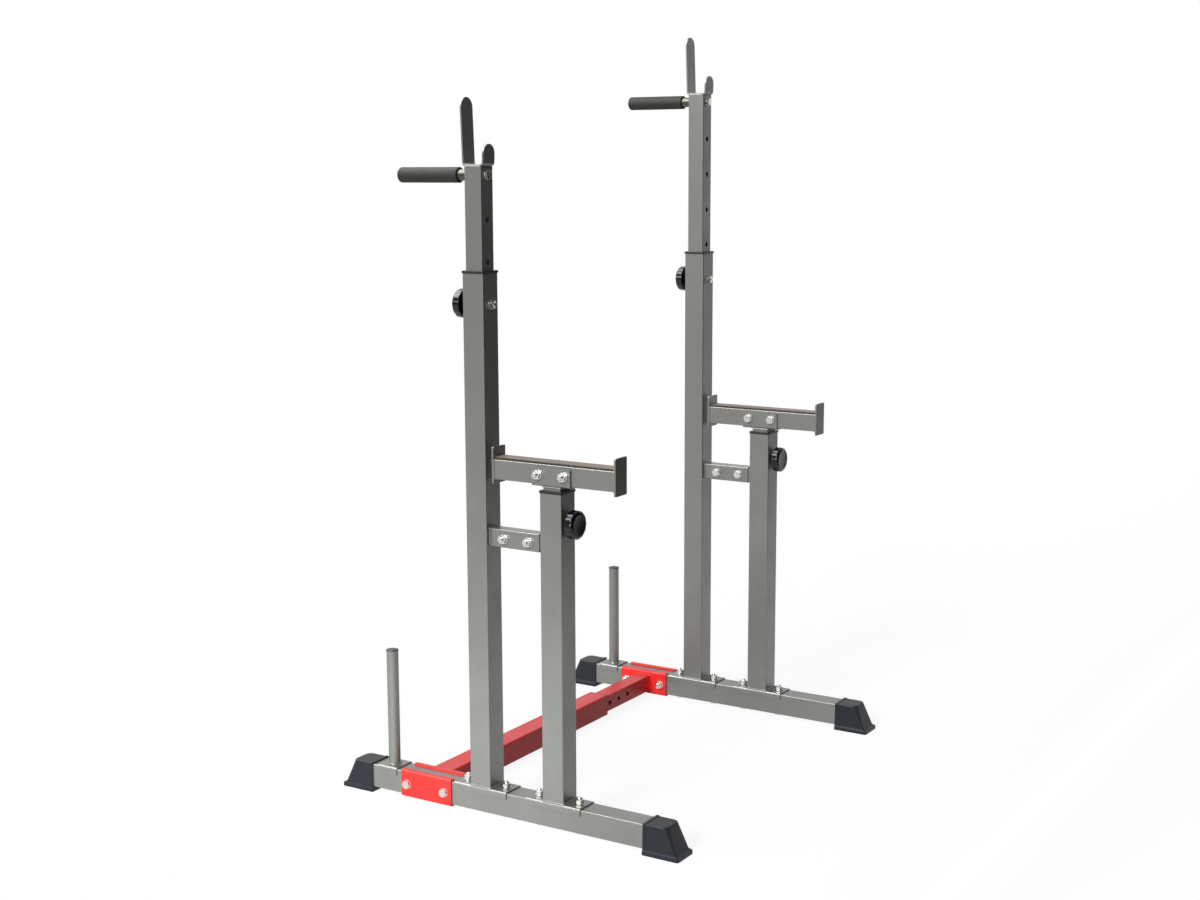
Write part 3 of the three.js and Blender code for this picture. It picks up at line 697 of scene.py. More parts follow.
# %% [markdown]
# ## The base of each side frame
#
# A 50 mm beam lies on two moulded feet. Four holes go down through it for the bolts of the upright
# and the safety post, and two across it for the bolts of the crossbar. Each hole is placed by the
# bolt that goes through it.

# %% The two sides
# Each side's number says which way along X its outside looks.
SIDES = {"left": -1, "right": 1}
HOLE_SLACK = 0.75
bolt_hole = BOLT["radius"] + HOLE_SLACK
standing_bolts = ("upright_bolt_front", "upright_bolt_rear", "post_bolt_front", "post_bolt_rear")
clamp_bolts = ("clamp_bolt_front", "clamp_bolt_rear")


def body_of(side):
    """The body that a side's frame rides on."""
    return f"{side}_frame"


print("bolt holes", 2 * bolt_hole, "mm wide")

# %% Base beams
for side in SIDES:
    node = f"{side}_base_beam"
    low, high = corners(node)
    middle = centre(node)
    beam = along_y(square_tube(OUTER, low.y - middle.y, high.y - middle.y))
    holes = [(axis, (0, centre(f"{side}_{bolt}").y - middle.y, 0), bolt_hole, OUTER["size"])
             for axis, bolts in (("Z", standing_bolts), ("X", clamp_bolts)) for bolt in bolts]
    beam = moved(drilled(beam, holes), *middle)
    piece(f"{side}_beam_tube", beam, grey_coat, body_of(side), node)
print("beams", round(high.y - low.y), "mm long")

# %% [markdown]
# The feet are moulded caps that are driven onto the ends of the beam. They have a flat sole with a
# sloped edge, sides that draw in towards the top so that the cap leaves its mould, a sloping toe with
# round corners, and a raised rim round the mouth. The body is a loft through outlines that are square
# at the mouth and round at the toe, and the socket is cut out of it.

# %% The shape of a foot
FOOT = {
    "sole": 8.5, "beam": 11, "wall": 2, "slack": 0.3, "grip": 44, "rim": 7, "rim_proud": 1,
    "sole_corner": 5, "top_corner": 14, "body": 73, "top": 54, "body_proud": 3.5, "round": 2.6,
}


def foot_outline(width, length, corner, z):
    """The plan of a foot at one height: square at the mouth, round at the toe."""
    half = width / 2
    points = [(half, 0)]
    points += arc(half - corner, length - corner, corner, 0, 90, 10)
    points += arc(corner - half, length - corner, corner, 90, 180, 10)
    points += [(-half, 0)]
    return level(points, z)


def foot(width, length, height):
    """A foot that points along +Y from its mouth."""
    size, corner, base, edge = OUTER["size"], FOOT["sole_corner"], FOOT["beam"], FOOT["round"]
    top_width = size + 2 * (FOOT["slack"] + FOOT["wall"])
    top = base + size + FOOT["slack"] + FOOT["wall"]
    body_width = size + 2 * FOOT["body_proud"]
    # Each plan is a width, a length, a corner's radius and a height.
    plans = [
        (width - 2, length - 1, corner - 1, 0), (width - 0.6, length - 0.3, corner - 0.3, 0.3),
        (width, length, corner, 1), (width, length, corner, FOOT["sole"] - 0.8),
        (width - 0.5, length - 0.3, corner, FOOT["sole"] - 0.1),
        (body_width + 1, FOOT["body"] + 1, corner, base - 0.4),
        (body_width, FOOT["body"], corner, base + 0.8),
    ]
    rise = top - edge - base - 0.8
    for share in (step / 6 for step in range(1, 7)):
        plans.append((
            body_width + (top_width - body_width) * share,
            FOOT["body"] + (FOOT["top"] - FOOT["body"]) * share,
            corner + (FOOT["top_corner"] - corner) * share, base + 0.8 + rise * share,
        ))
    for angle in (math.pi / 2 * step / 5 for step in range(1, 6)):
        inset = edge * (1 - math.cos(angle))
        plans.append((
            top_width - 2 * inset, FOOT["top"] - inset - edge * math.sin(angle) / 3,
            FOOT["top_corner"] - inset, top - edge + edge * math.sin(angle),
        ))
    body = skinned([foot_outline(*plan) for plan in plans])
    rim_width = top_width + 2 * FOOT["rim_proud"]
    rim_height = height - FOOT["sole"]
    rim = skinned([
        level(rounded(rim_width - 2 * inset, rim_height - 2 * inset, 2 - inset, 4), y)
        for inset, y in ((0.6, 0), (0, 0.6), (0, FOOT["rim"] - 0.8), (0.9, FOOT["rim"]))
    ])
    rim = moved(along_y(rim), z=FOOT["sole"] + rim_height / 2)
    mouth = size + 2 * FOOT["slack"]
    socket = extruded(rounded(mouth, mouth, OUTER["corner"]), -5, FOOT["grip"] + FOOT["slack"])
    socket = moved(along_y(socket), z=base + size / 2)
    return boolean(boolean(body, rim, "UNION"), socket)


print("soles", FOOT["sole"], "mm thick")

# %% Feet on the beams
for side in SIDES:
    for end, turned_by in (("rear", 0), ("front", 180)):
        node = f"{side}_{end}_foot"
        low, high = corners(node)
        cap = turn(foot(*(high - low)), "Z", turned_by)
        moved(cap, centre(node).x, low.y if end == "rear" else high.y, low.z)
        piece(f"{side}_{end}_end_cap", cap, foot_plastic, body_of(side), node)
print("feet", [round(size, 1) for size in high - low], "mm")

# %% [markdown]
# ## Uprights and safety posts
#
# The upright is welded to its saddle, with the sleeve of the cross connector on its front face. The
# safety post stands in front of it in the same way, and carries the tongue that goes into the sleeve.
# Near the top of each a nut is welded over a hole, for the locking stud. Weld nuts are bare steel
# under zinc, so they are pieces of their own.

# %% Uprights and safety posts
CONNECTOR = {"width": 30, "height": 37, "wall": 2, "corner": 2.5, "slack": 0.3, "weld": 1.7}
RUN_IN = 1
stud_hole = BOLT["radius"] + HOLE_SLACK


def footed_tube(foot_level, top, lock, arm):
    """A tube along Z on its saddle, with its lock hole, its weld and its connector arm."""
    body = drilled(square_tube(OUTER, foot_level, top), [("Y", (0, 0, lock), stud_hole, OUTER["size"])])
    plate = saddle(SADDLE["length"])
    holes = [("Z", (0, end * SADDLE["bolts"] / 2, 0), bolt_hole, PLATE_REACH) for end in (-1, 1)]
    plate = moved(drilled(plate, holes), z=foot_level)
    return joined([body, plate, moved(tube_weld(OUTER), z=foot_level), arm])


def connector_arm(width, height, reach, bolts):
    """A piece of rectangular tube along Y from the face of a tube, with its bolt holes and weld."""
    face = OUTER["size"] / 2
    stub = along_y(tube(width, height, CONNECTOR["wall"], CONNECTOR["corner"], face, reach))
    stub = drilled(stub, [("X", (0, y, 0), bolt_hole, OUTER["size"]) for y in bolts])
    ring = box_weld(width, height, CONNECTOR["corner"], CONNECTOR["weld"])
    return joined([stub, moved(along_y(ring), y=face)])


# The sleeve points to the front. The tongue points to the rear and is narrower, to fit inside it.
narrower = 2 * (CONNECTOR["wall"] + CONNECTOR["slack"])
for side in SIDES:
    foot_level = corners(f"{side}_base_beam")[1].z + SADDLE["thickness"]
    bolts = [centre(f"{side}_connector_bolt_{end}") for end in ("rear", "front")]
    for tube_name, node, label, less, facing in (
        ("upright", "upright", "upright", 0, -1), ("post", "safety_post", "safety", narrower, 1)
    ):
        low, high = corners(f"{side}_{node}")
        collar = centre(f"{side}_{tube_name}_collar")
        reach = high.y - collar.y if facing > 0 else collar.y - low.y
        arm = connector_arm(CONNECTOR["width"] - less, CONNECTOR["height"] - less, reach,
                            [facing * (bolt.y - collar.y) for bolt in bolts])
        arm = moved(turn(arm, "Z", 0 if facing > 0 else 180), z=bolts[0].z)
        weldment = footed_tube(foot_level, high.z, centre(f"{side}_{label}_stud").z, arm)
        moved(weldment, collar.x, collar.y)
        name = f"{side}_{tube_name}_weldment"
        piece(name, weldment, grey_coat, body_of(side), f"{side}_{node}")
print("the tubes stand on saddles", round(foot_level, 1), "mm above the floor")

# %% Weld nuts for the locking studs
# The tube, the name of its stud and knob, the stud's body, and 1 where the knob is at the rear.
LOCKS = (("upright", "upright", "mast_lock", 1), ("post", "safety", "spotter_lock", -1))
NUT_WELD = {"radius": 8.6, "points": 24, "bead": 1.2, "height": 0.4}


def facing_y(mesh, facing):
    """Lays along Y what was made along Z, towards the front when facing is -1."""
    return turn(along_y(mesh), "Z", 0 if facing > 0 else 180)


def weld_nut(facing):
    """A nut on the face of an outer tube, on its front when facing is -1."""
    face = OUTER["size"] / 2
    nut = hexagon(BOLT["flats"], face, face + BOLT["nut"], BOLT["radius"] + 0.1, lower_chamfer=False)
    return facing_y(turn(nut, "Z", 30), facing)


def ring_weld(radius, points, height, thickness):
    """A bead round the foot of a nut or a peg, along Z."""
    return bead(level(arc(0, 0, radius, 0, 360, points)[:-1], height), thickness, (0, 0, 1))


def nut_bead(facing):
    """The weld at the foot of that nut."""
    height = OUTER["size"] / 2 + NUT_WELD["height"]
    ring = ring_weld(NUT_WELD["radius"], NUT_WELD["points"], height, NUT_WELD["bead"])
    return facing_y(ring, facing)


for side in SIDES:
    for tube_name, label, _, knob_facing in LOCKS:
        place = centre(f"{side}_{tube_name}_collar")
        place.z = centre(f"{side}_{label}_stud").z
        nut = moved(weld_nut(-knob_facing), *place)
        piece(f"{side}_{tube_name}_weld_nut", nut, bright_zinc, body_of(side))
        weld = moved(nut_bead(-knob_facing), *place)
        piece(f"{side}_{tube_name}_nut_weld", weld, grey_coat, body_of(side))
print("weld nuts", BOLT["flats"], "mm across flats")

# %% [markdown]
# A nylon bush is pressed into the top of each outer tube, and the inner tube slides in it. Only its
# lip shows, a little wider than the tube. It is one closed ring of outlines: up the skirt, out under
# the lip, round it, and down the bore.

# %% Bushes in the tops of the tubes
COLLAR = {"lip": 5, "skirt": 40, "slack": 0.3, "slide": 0.4}
skirt_size = OUTER["size"] - 2 * (OUTER["wall"] + COLLAR["slack"])
bore_size = INNER["size"] + 2 * COLLAR["slide"]


def ringed(sections):
    """A closed ring of round-cornered squares, given by their widths, corners and heights."""
    return skinned([level(rounded(width, width, corner), z) for width, corner, z in sections], closed=True)


def tube_bush(size):
    """A bush whose lip is as wide as size and stands on zero."""
    lip, corner, edge = COLLAR["lip"], OUTER["corner"], 0.9
    bottom = -COLLAR["skirt"]
    return ringed((
        (bore_size, 0.8, bottom), (skirt_size - 1, 1, bottom), (skirt_size, 1.5, bottom + 1),
        (skirt_size, 1.5, 0), (size - 0.6, corner, 0), (size, corner + 0.3, 0.3),
        (size, corner + 0.3, lip - edge), (size - 2 * edge * 0.3, corner, lip - edge * 0.3),
        (size - 2 * edge, corner - edge * 0.5, lip), (bore_size + 1, 1.3, lip),
        (bore_size, 0.8, lip - 0.5),
    ))


for side in SIDES:
    for tube_name in ("upright", "post"):
        node = f"{side}_{tube_name}_collar"
        low, high = corners(node)
        middle = centre(node)
        bush = moved(tube_bush(high.x - low.x), middle.x, middle.y, high.z - COLLAR["lip"])
        piece(f"{side}_{tube_name}_bush", bush, bush_plastic, body_of(side), node)
print("bush lips", round(high.x - low.x), "mm wide")

# %% [markdown]
# The storage peg is a round tube on a short saddle, closed by a domed plastic cap.

# %% Storage pegs
PEG = {
    "radius": 12.5, "cap_radius": 13.5, "cap": 4, "cap_rim": 1.2, "saddle": 50, "bead": 2, "points": 48,
}
for side in SIDES:
    node = f"{side}_storage_peg"
    middle = centre(node)
    top = corners(node)[1].z
    seat = corners(f"{side}_base_beam")[1].z + SADDLE["thickness"]
    rim = top - PEG["cap"]
    bare = turned([(PEG["radius"], seat - RUN_IN), (PEG["radius"], rim)], FINE_SIDES)
    weld = ring_weld(PEG["radius"], PEG["points"], seat + 0.4, PEG["bead"])
    peg = joined([bare, moved(saddle(PEG["saddle"]), z=seat), weld])
    piece(f"{side}_peg_weldment", moved(peg, middle.x, middle.y), grey_coat, body_of(side), node)
    reach, shoulder = PEG["cap_radius"], rim + PEG["cap_rim"]
    dome = [(reach - 0.5, rim), (reach, rim + 0.4), (reach, shoulder)]
    dome += [(reach * math.cos(a), shoulder + (top - shoulder) * math.sin(a))
             for a in (math.pi / 2 * i / 10 for i in range(1, 10))]
    cap = moved(turned(dome, FINE_SIDES), middle.x, middle.y)
    piece(f"{side}_peg_cap", cap, cap_plastic, body_of(side), node)
print("pegs", round(top - seat), "mm tall")

# %% [markdown]
# ## The masts, with bar catches and dip handles
#
# A mast is a 40 mm tube with a row of holes. A flat strip, bent into a U, is welded on its top: the
# barbell lies in it, between a tall rear prong and a short front one that lean outwards. The strip is
# drawn as a section that travels up one prong, round the bends and up the other, and its width
# shrinks to a half circle at both tips, as the press cut it.

# %% Bar catches
CATCH = {
    "width": 38, "thickness": 4, "span": 51, "bend": 8, "rear": 133.5, "front": 43.5, "lean": 2,
    "bend_steps": 8, "tip_steps": 14, "spacing": 12, "edge": 0.9,
}


def catch_path():
    """Places along the middle of the strip, from the rear tip to the front one, with their normals."""
    bend, radius = CATCH["bend"], CATCH["width"] / 2
    lean = math.radians(CATCH["lean"])
    middle = bend - CATCH["thickness"] / 2
    path = []
    for sign, height in ((1, CATCH["rear"]), (-1, CATCH["front"])):
        pivot = Vector((sign * (CATCH["span"] / 2 - bend), bend))
        along = Vector((sign * math.sin(lean), math.cos(lean)))
        normal = Vector((sign * math.cos(lean), -math.sin(lean)))
        start = pivot + middle * normal
        straight = (height - 0.5 - start.y) / along.y - radius
        half = []
        for i in range(CATCH["bend_steps"]):
            angle = -math.pi / 2 + (math.pi / 2 - lean) * i / CATCH["bend_steps"]
            out = Vector((sign * math.cos(angle), math.sin(angle)))
            half.append((pivot + middle * out, out, radius))
        count = max(2, round(straight / CATCH["spacing"]))
        half += [(start + straight * i / count * along, normal, radius) for i in range(count)]
        for i in range(CATCH["tip_steps"] + 1):
            rise = radius * math.sin(math.pi / 2 * i / CATCH["tip_steps"])
            half_width = math.sqrt(max(0.36, radius**2 - rise**2))
            half.append((start + (straight + rise) * along, normal, half_width))
        path = half[::-1] if sign > 0 else path + half
    return path


def catch_strip():
    """The bent strip, standing on zero."""
    rings = []
    for place, normal, half_width in catch_path():
        edge = min(CATCH["edge"], half_width * 0.8)
        section = rounded(2 * half_width, CATCH["thickness"], edge, 3)
        rings.append([(x, place.x + normal.x * t, place.y + normal.y * t) for x, t in section])
    return skinned(rings)


print("a catch has", len(catch_path()), "stations")


# %% Masts
MAST = {"first": 102.5, "pitch": 82.5, "count": 7}
SEAM = {"radius": 1.4, "height": 0.6, "length": INNER["size"] - 6}


def row_of_holes(first, row):
    """A row of holes for a locking stud, from the height of the first one down."""
    heights = [first - i * row["pitch"] for i in range(row["count"])]
    return [("Y", (0, 0, z), stud_hole, OUTER["size"]) for z in heights]


for side in SIDES:
    low, high = corners(f"{side}_mast")
    top = high.z - CATCH["rear"]
    axis = centre(f"{side}_upright_collar")
    holes = row_of_holes(top - MAST["first"], MAST)
    holes.append(("Y", (0, 0, centre(f"{side}_dip_bar").z), bolt_hole, OUTER["size"]))
    parts = [drilled(square_tube(INNER, low.z, top), holes), moved(catch_strip(), z=top)]
    for x in (-CATCH["width"] / 2, CATCH["width"] / 2):
        line = [(x, end * SEAM["length"] / 2, top + SEAM["height"]) for end in (-1, 1)]
        parts.append(bead(line, SEAM["radius"], (0, 0, 1), closed=False))
    mast = moved(joined(parts), axis.x, axis.y)
    piece(f"{side}_mast_weldment", mast, grey_coat, f"{side}_mast_unit", f"{side}_mast")
print("masts", round(top - low.z), "mm long with", MAST["count"], "holes")

# %% [markdown]
# The dip handle is a length of zinc plated tube, bolted through the mast from the front, with a foam
# sleeve. The sleeve is cut from a moulded length: its inner end is square with a soft edge, and its
# outer end is closed and round.

# %% Dip handles
DIP = {"bar": 11.25, "edge": 0.8, "head": 5}
GRIP = {"radius": 15.5, "slack": 0.3, "edge": 1.8, "nose": 5, "waves": 30, "wave": 0.12}


def grip(start, bar_end, end):
    """The foam sleeve along Z, from its inner end to its closed outer end."""
    outer, bore = GRIP["radius"], DIP["bar"] + GRIP["slack"]
    edge, nose, waves = GRIP["edge"], GRIP["nose"], GRIP["waves"]
    profile = [(bore, start + 0.8), (bore + 0.8, start)]
    profile += arc(outer - edge, start + edge, edge, -90, 0, 5)
    profile += [(outer - GRIP["wave"] * (1 + math.sin(i * 2.1)), start + 4 + (end - start - 10) * i / waves)
                for i in range(waves + 1)]
    profile += arc(outer - nose, end - nose, nose, 0, 90, 8)
    profile += [(5.2, end), (4.6, end - 0.5), (4, end - 1.2), (0.2, end - 1.4)]
    profile += [(0.2, bar_end + 0.4), (bore, bar_end + 0.4)]
    return turned(profile, FINE_SIDES, closed=True)


for side in SIDES:
    node, unit = f"{side}_dip_bar", f"{side}_mast_unit"
    axis = centre(node)
    bar_end = corners(node)[1].y
    low, high = corners(f"{side}_dip_grip")
    face = centre(f"{side}_upright_collar").y + INNER["size"] / 2
    front = face - INNER["size"]
    radius, edge = DIP["bar"], DIP["edge"]
    bar = turned([(radius - edge, face), (radius, face + edge),
                  (radius, bar_end - edge), (radius - edge, bar_end)], FINE_SIDES)
    bar = moved(along_y(bar), axis.x, 0, axis.z)
    piece(f"{side}_dip_handle_bar", bar, drawn_zinc_painted_shade, unit, node)
    shank = turned([(BOLT["radius"] - 0.1, front - 2), (BOLT["radius"] - 0.1, face + 1)], ROD_SIDES)
    head = hexagon(BOLT["flats"], BOLT["washer"], BOLT["washer"] + DIP["head"])
    head = joined([turn(head, "Z", 8), washer(0, BOLT["washer"])])
    head = moved(turn(head, "X", 180), z=front)
    bolt = moved(along_y(joined([shank, head])), axis.x, 0, axis.z)
    piece(f"{side}_dip_handle_bolt", bolt, bright_zinc, unit, node)
    sleeve = moved(along_y(grip(low.y, bar_end, high.y)), axis.x, 0, axis.z)
    sleeve = piece(f"{side}_foam_grip", sleeve, grip_foam, unit, f"{side}_dip_grip")
print("foam grips", round(high.y - low.y), "mm long")

# %% [markdown]
# ## The spotter arms
#
# A stem of 40 mm tube slides in each safety post, with a cradle of bent plate on its top. The arm
# lies in the cradle and is held by two bolts. It is a 40 mm tube with a plate welded to each end,
# which keeps a falling barbell on it, and a rubber strip that softens the fall.

# %% Stems and cradles
STEM = {"pitch": 41.25, "count": 7}
CRADLE = {
    "length": 90, "thickness": 3.5, "bend": 3.3, "bolts": 59, "corner": 5, "slack": 0.3, "below": 4,
}
arm_bolts = [end * CRADLE["bolts"] / 2 for end in (-1, 1)]


def cradle(cheek):
    """The U of bent plate along Y, standing on zero, with cheeks as high as given."""
    thickness, bend, length = CRADLE["thickness"], CRADLE["bend"], CRADLE["length"]
    inside = INNER["size"] / 2 + CRADLE["slack"]
    outside = inside + thickness
    x, z = inside - bend, thickness + bend
    outline = [(outside, cheek), (-outside, cheek)]
    outline += arc(-x, z, bend + thickness, 180, 270) + arc(x, z, bend + thickness, 270, 360)
    trough = [(inside, cheek + 20), (-inside, cheek + 20)]
    trough += arc(-x, z, bend, 180, 270) + arc(x, z, bend, 270, 360)
    plate = boolean(folded(outline, length), folded(trough, 2 * length))
    side_view = extruded(rounded(2 * cheek, length, CRADLE["corner"], 8), -TUBE_REACH, TUBE_REACH)
    return boolean(plate, along_x(side_view), "INTERSECT")


for side, outward in SIDES.items():
    node, unit = f"{side}_safety_stem", f"{side}_spotter_unit"
    low, high = corners(node)
    axis = centre(f"{side}_post_collar")
    cheek = INNER["size"] + CRADLE["thickness"] - CRADLE["below"]
    seat = high.z - cheek
    body = square_tube(INNER, low.z, seat)
    body = drilled(body, row_of_holes(centre(f"{side}_safety_stud").z, STEM))
    weld = moved(turn(tube_weld(INNER, 2), "X", 180), z=seat)
    middle = CRADLE["thickness"] + INNER["size"] / 2
    across = [("X", (0, y, middle), bolt_hole, OUTER["size"]) for y in arm_bolts]
    plate = moved(drilled(cradle(cheek), across), z=seat)
    stem = moved(joined([body, plate, weld]), axis.x, axis.y)
    piece(f"{side}_stem_weldment", stem, grey_coat, unit, node)
    depth = INNER["size"] + 2 * (CRADLE["slack"] + CRADLE["thickness"])
    for label, y in zip(("front", "rear"), arm_bolts):
        bolt = moved(along_x(bolt_and_nut(depth)), x=-depth / 2)
        turn(bolt, "Z", 180 if outward < 0 else 0)
        moved(bolt, axis.x, axis.y + y, seat + middle)
        piece(f"{side}_arm_bolt_{label}", bolt, bright_zinc, unit, node)
print("stems", round(seat - low.z), "mm long")

# %% [markdown]
# The end plates are sheared from 4 mm strip and stand above the rubber, so that the barbell can't
# roll off. Their corners are rounded, their edges are filed, and the weld runs round the tube on
# three sides, because the rubber covers the fourth.

# %% Arms and rubber strips
ARM = {"plate": 4, "corner": 3, "filed": 0.7, "weld": 1.6}
STRIP = {"edge": 1.8, "foot": 0.4}


def end_plate(width, height, low, high):
    """An end plate across Y, with filed edges."""
    plate = along_y(extruded(rounded(width, height, ARM["corner"], 5), low, high))
    return filed(plate, ARM["filed"])


def end_weld(face, facing, middle):
    """A bead on the face of an end plate, round the arm's tube but for its upper side."""
    half, bend = INNER["size"] / 2, INNER["corner"]
    outline = [(half, half - 3)] + arc(half - bend, bend - half, bend, 0, -90, 3)
    outline += arc(bend - half, bend - half, bend, 270, 180, 3) + [(-half, half - 3)]
    path = [(x, face + facing * 0.5, middle + z) for x, z in outline]
    return bead(path, ARM["weld"], (0, 1, 0), closed=False)


def rubber_strip(width, height, start, end):
    """A strip along Y that stands on zero, with soft edges."""
    half, edge, foot = width / 2, STRIP["edge"], STRIP["foot"]
    outline = [(half - foot, 0), (half, foot)] + arc(half - edge, height - edge, edge, 0, 90)
    outline += arc(edge - half, height - edge, edge, 90, 180) + [(-half, foot), (foot - half, 0)]
    return skinned([
        [(x * (1 - inset / half), y, z * (1 - inset / height)) for x, z in outline]
        for inset, y in ((foot, start), (0, start + foot), (0, end - foot), (foot, end))
    ])


for side in SIDES:
    node, unit = f"{side}_spotter_arm", f"{side}_spotter_unit"
    low, high = corners(node)
    pad_low, pad_high = corners(f"{side}_spotter_pad")
    x, _, plate_z = centre(node)
    middle = pad_low.z - INNER["size"] / 2
    axis = centre(f"{side}_post_collar")
    start, end = low.y + ARM["plate"], high.y - ARM["plate"]
    body = along_y(square_tube(INNER, start - RUN_IN, end + RUN_IN))
    body = drilled(body, [("X", (0, axis.y + y, 0), bolt_hole, OUTER["size"]) for y in arm_bolts])
    parts = [moved(body, z=middle)]
    for face, facing in ((start, 1), (end, -1)):
        plate = end_plate(high.x - low.x, high.z - low.z, *sorted((face, face - facing * ARM["plate"])))
        parts += [moved(plate, z=plate_z), end_weld(face, facing, middle)]
    piece(f"{side}_arm_weldment", moved(joined(parts), x), grey_coat, unit, node)
    width, _, height = pad_high - pad_low
    strip = moved(rubber_strip(width, height, pad_low.y, pad_high.y), x, z=pad_low.z)
    piece(f"{side}_rubber_strip", strip, strip_rubber, unit, f"{side}_spotter_pad")
print("arms", round(high.y - low.y), "mm long")

# %% [markdown]
# ## Locks
#
# Each telescoping tube is locked by a threaded stud with a moulded knob. The knob has a hub that
# bears on the tube, a deep disc whose flutes for the fingers fade out over its broad round shoulder,
# and a shallow dish in its outer face. It is turned from one profile, and a function draws its rim in
# and out with the angle.

# %% The shape of a knob
KNOB = {
    "radius": 29, "disc": 18, "edge": 2, "shoulder": 6, "hub": 12, "hub_foot": 9, "hub_length": 8,
    "dish": 18, "dish_depth": 1, "bore": 5.3, "in_knob": 15, "flutes": 12, "flute_depth": 1.1,
    "ribs": 12, "rib_depth": 0.9, "sides": 96,
}


def knob_rim(radius, height, angle):
    """Flutes on the disc, which fade out over its shoulder, and flats on the hub."""
    start = KNOB["radius"] - KNOB["shoulder"]
    if radius > start:
        wave = 0.5 - 0.5 * math.cos(KNOB["flutes"] * angle)
        return radius - KNOB["flute_depth"] * wave**2 * (radius - start) / KNOB["shoulder"]
    if KNOB["hub_foot"] - 0.6 < radius <= KNOB["hub"] + 0.01 and height > -KNOB["hub_length"] - 0.5:
        return radius - KNOB["rib_depth"] * (1 - abs(math.cos(KNOB["ribs"] / 2 * angle)))
    return radius


def knob():
    """A knob along Z whose hub is seated at zero and whose face looks along -Z."""
    hub, foot, bore, inner = KNOB["hub"], KNOB["hub_foot"], KNOB["bore"], -KNOB["in_knob"]
    back, face = -KNOB["hub_length"], -KNOB["hub_length"] - KNOB["disc"]
    radius, edge, shoulder = KNOB["radius"], KNOB["edge"], KNOB["shoulder"]
    dish, depth = KNOB["dish"], KNOB["dish_depth"]
    profile = [
        (0.3, inner), (bore, inner), (bore, -0.4), (bore + 0.4, 0), (foot - 0.5, 0), (foot, -0.5),
        (hub, back * 0.55), (hub, back + 1.2), (hub + 0.4, back + 0.4), (hub + 1.4, back),
    ]
    profile += arc(radius - edge, back - edge, edge, 90, 0, 4)
    profile += arc(radius - shoulder, face + shoulder, shoulder, 0, -90, 8)
    profile += [(dish + 0.6, face), (dish, face + 0.3)]
    profile += [(dish - depth * i / 5, face + 0.3 + (depth - 0.6) * math.sin(math.pi / 2 * i / 5))
                for i in range(1, 6)]
    profile += [(9, face + depth), (0.3, face + depth)]
    return turned(profile, KNOB["sides"], closed=True, radius_at=knob_rim)


print("knobs", 2 * KNOB["radius"], "mm across with", KNOB["flutes"], "flutes")


# %% Studs and knobs
def laid(mesh, facing, x, face, z):
    """Lays a lock along Y on a face, with its knob at the rear when facing is 1."""
    turn(mesh, "X", 90)
    turn(mesh, "Z", 180 if facing < 0 else 0)
    return moved(mesh, x, face, z)


stud_head = KNOB["in_knob"] - 0.3
for side in SIDES:
    for tube_name, label, lock, facing in LOCKS:
        node, body = f"{side}_{label}_stud", f"{side}_{lock}"
        collar = centre(f"{side}_{tube_name}_collar")
        place = (facing, collar.x, collar.y + facing * OUTER["size"] / 2, centre(node).z)
        low, high = corners(node)
        rod = laid(threaded(rod_radius, -stud_head, 1, high.y - low.y - stud_head), *place)
        piece(f"{side}_{tube_name}_lock_stud", rod, bright_zinc, body, node)
        handle = laid(knob(), *place)
        name = f"{side}_{tube_name}_lock_knob"
        piece(name, handle, knob_plastic, f"{body}_knob", f"{side}_{label}_knob")
print("studs", round(high.y - low.y), "mm long")

# %% [markdown]
# ## The crossbar
#
# The crossbar telescopes too: a 40 mm tube slides in a 50 mm one, and both are red. Each is welded to
# a channel of bent plate that laps over the side frame's beam, and a second channel on the outside
# is pulled against it by two bolts.

# %% Clamp plates
CLAMP = {
    "thickness": 4, "flange": 10, "bend": 5, "length": 130, "bolts": 96, "corner": 3, "filed": 0.7,
}


def clamp_plate():
    """A channel along Y round half of a beam, about the beam's axis. Its web faces -X."""
    half, bend, length = OUTER["size"] / 2, CLAMP["bend"], CLAMP["length"]
    inner_bend = bend - CLAMP["thickness"] + 1.5
    reach, tip = half + CLAMP["thickness"], half - CLAMP["flange"]
    outline = [(-tip, reach)] + arc(bend - reach, reach - bend, bend, 90, 180)
    outline += arc(bend - reach, bend - reach, bend, 180, 270) + [(-tip, -reach), (-tip, -half)]
    outline += arc(inner_bend - half, inner_bend - half, inner_bend, 270, 180)
    outline += arc(inner_bend - half, half - inner_bend, inner_bend, 180, 90) + [(-tip, half)]
    plan = extruded(rounded(2 * (reach - tip), length, CLAMP["corner"], 6), -TUBE_REACH, TUBE_REACH)
    channel = boolean(folded(outline, length), moved(plan, x=-reach), "INTERSECT")
    holes = [("X", (-reach, end * CLAMP["bolts"] / 2, 0), bolt_hole, PLATE_REACH) for end in (-1, 1)]
    return drilled(filed(channel, CLAMP["filed"], 60), holes)


for side, outward in SIDES.items():
    node = f"{side}_clamp_plate"
    beam = centre(f"{side}_base_beam")
    plate = turn(clamp_plate(), "Z", 0 if outward < 0 else 180)
    moved(plate, beam.x, centre(node).y, beam.z)
    piece(f"{side}_outer_clamp", plate, red_coat, body_of(side), node)
print("clamp plates", CLAMP["length"], "mm long")

# %% Crossbar tubes
SLIDER = {"pitch": 41.25, "count": 7, "weld": 2.4}
left_beam, right_beam = centre("left_base_beam"), centre("right_base_beam")
clamp_face = OUTER["size"] / 2 + CLAMP["thickness"]
sleeve_end = corners("crossbar_sleeve")[1].x
lock_x = centre("width_bolt").x
crossbar_y = centre("left_clamp_plate").y

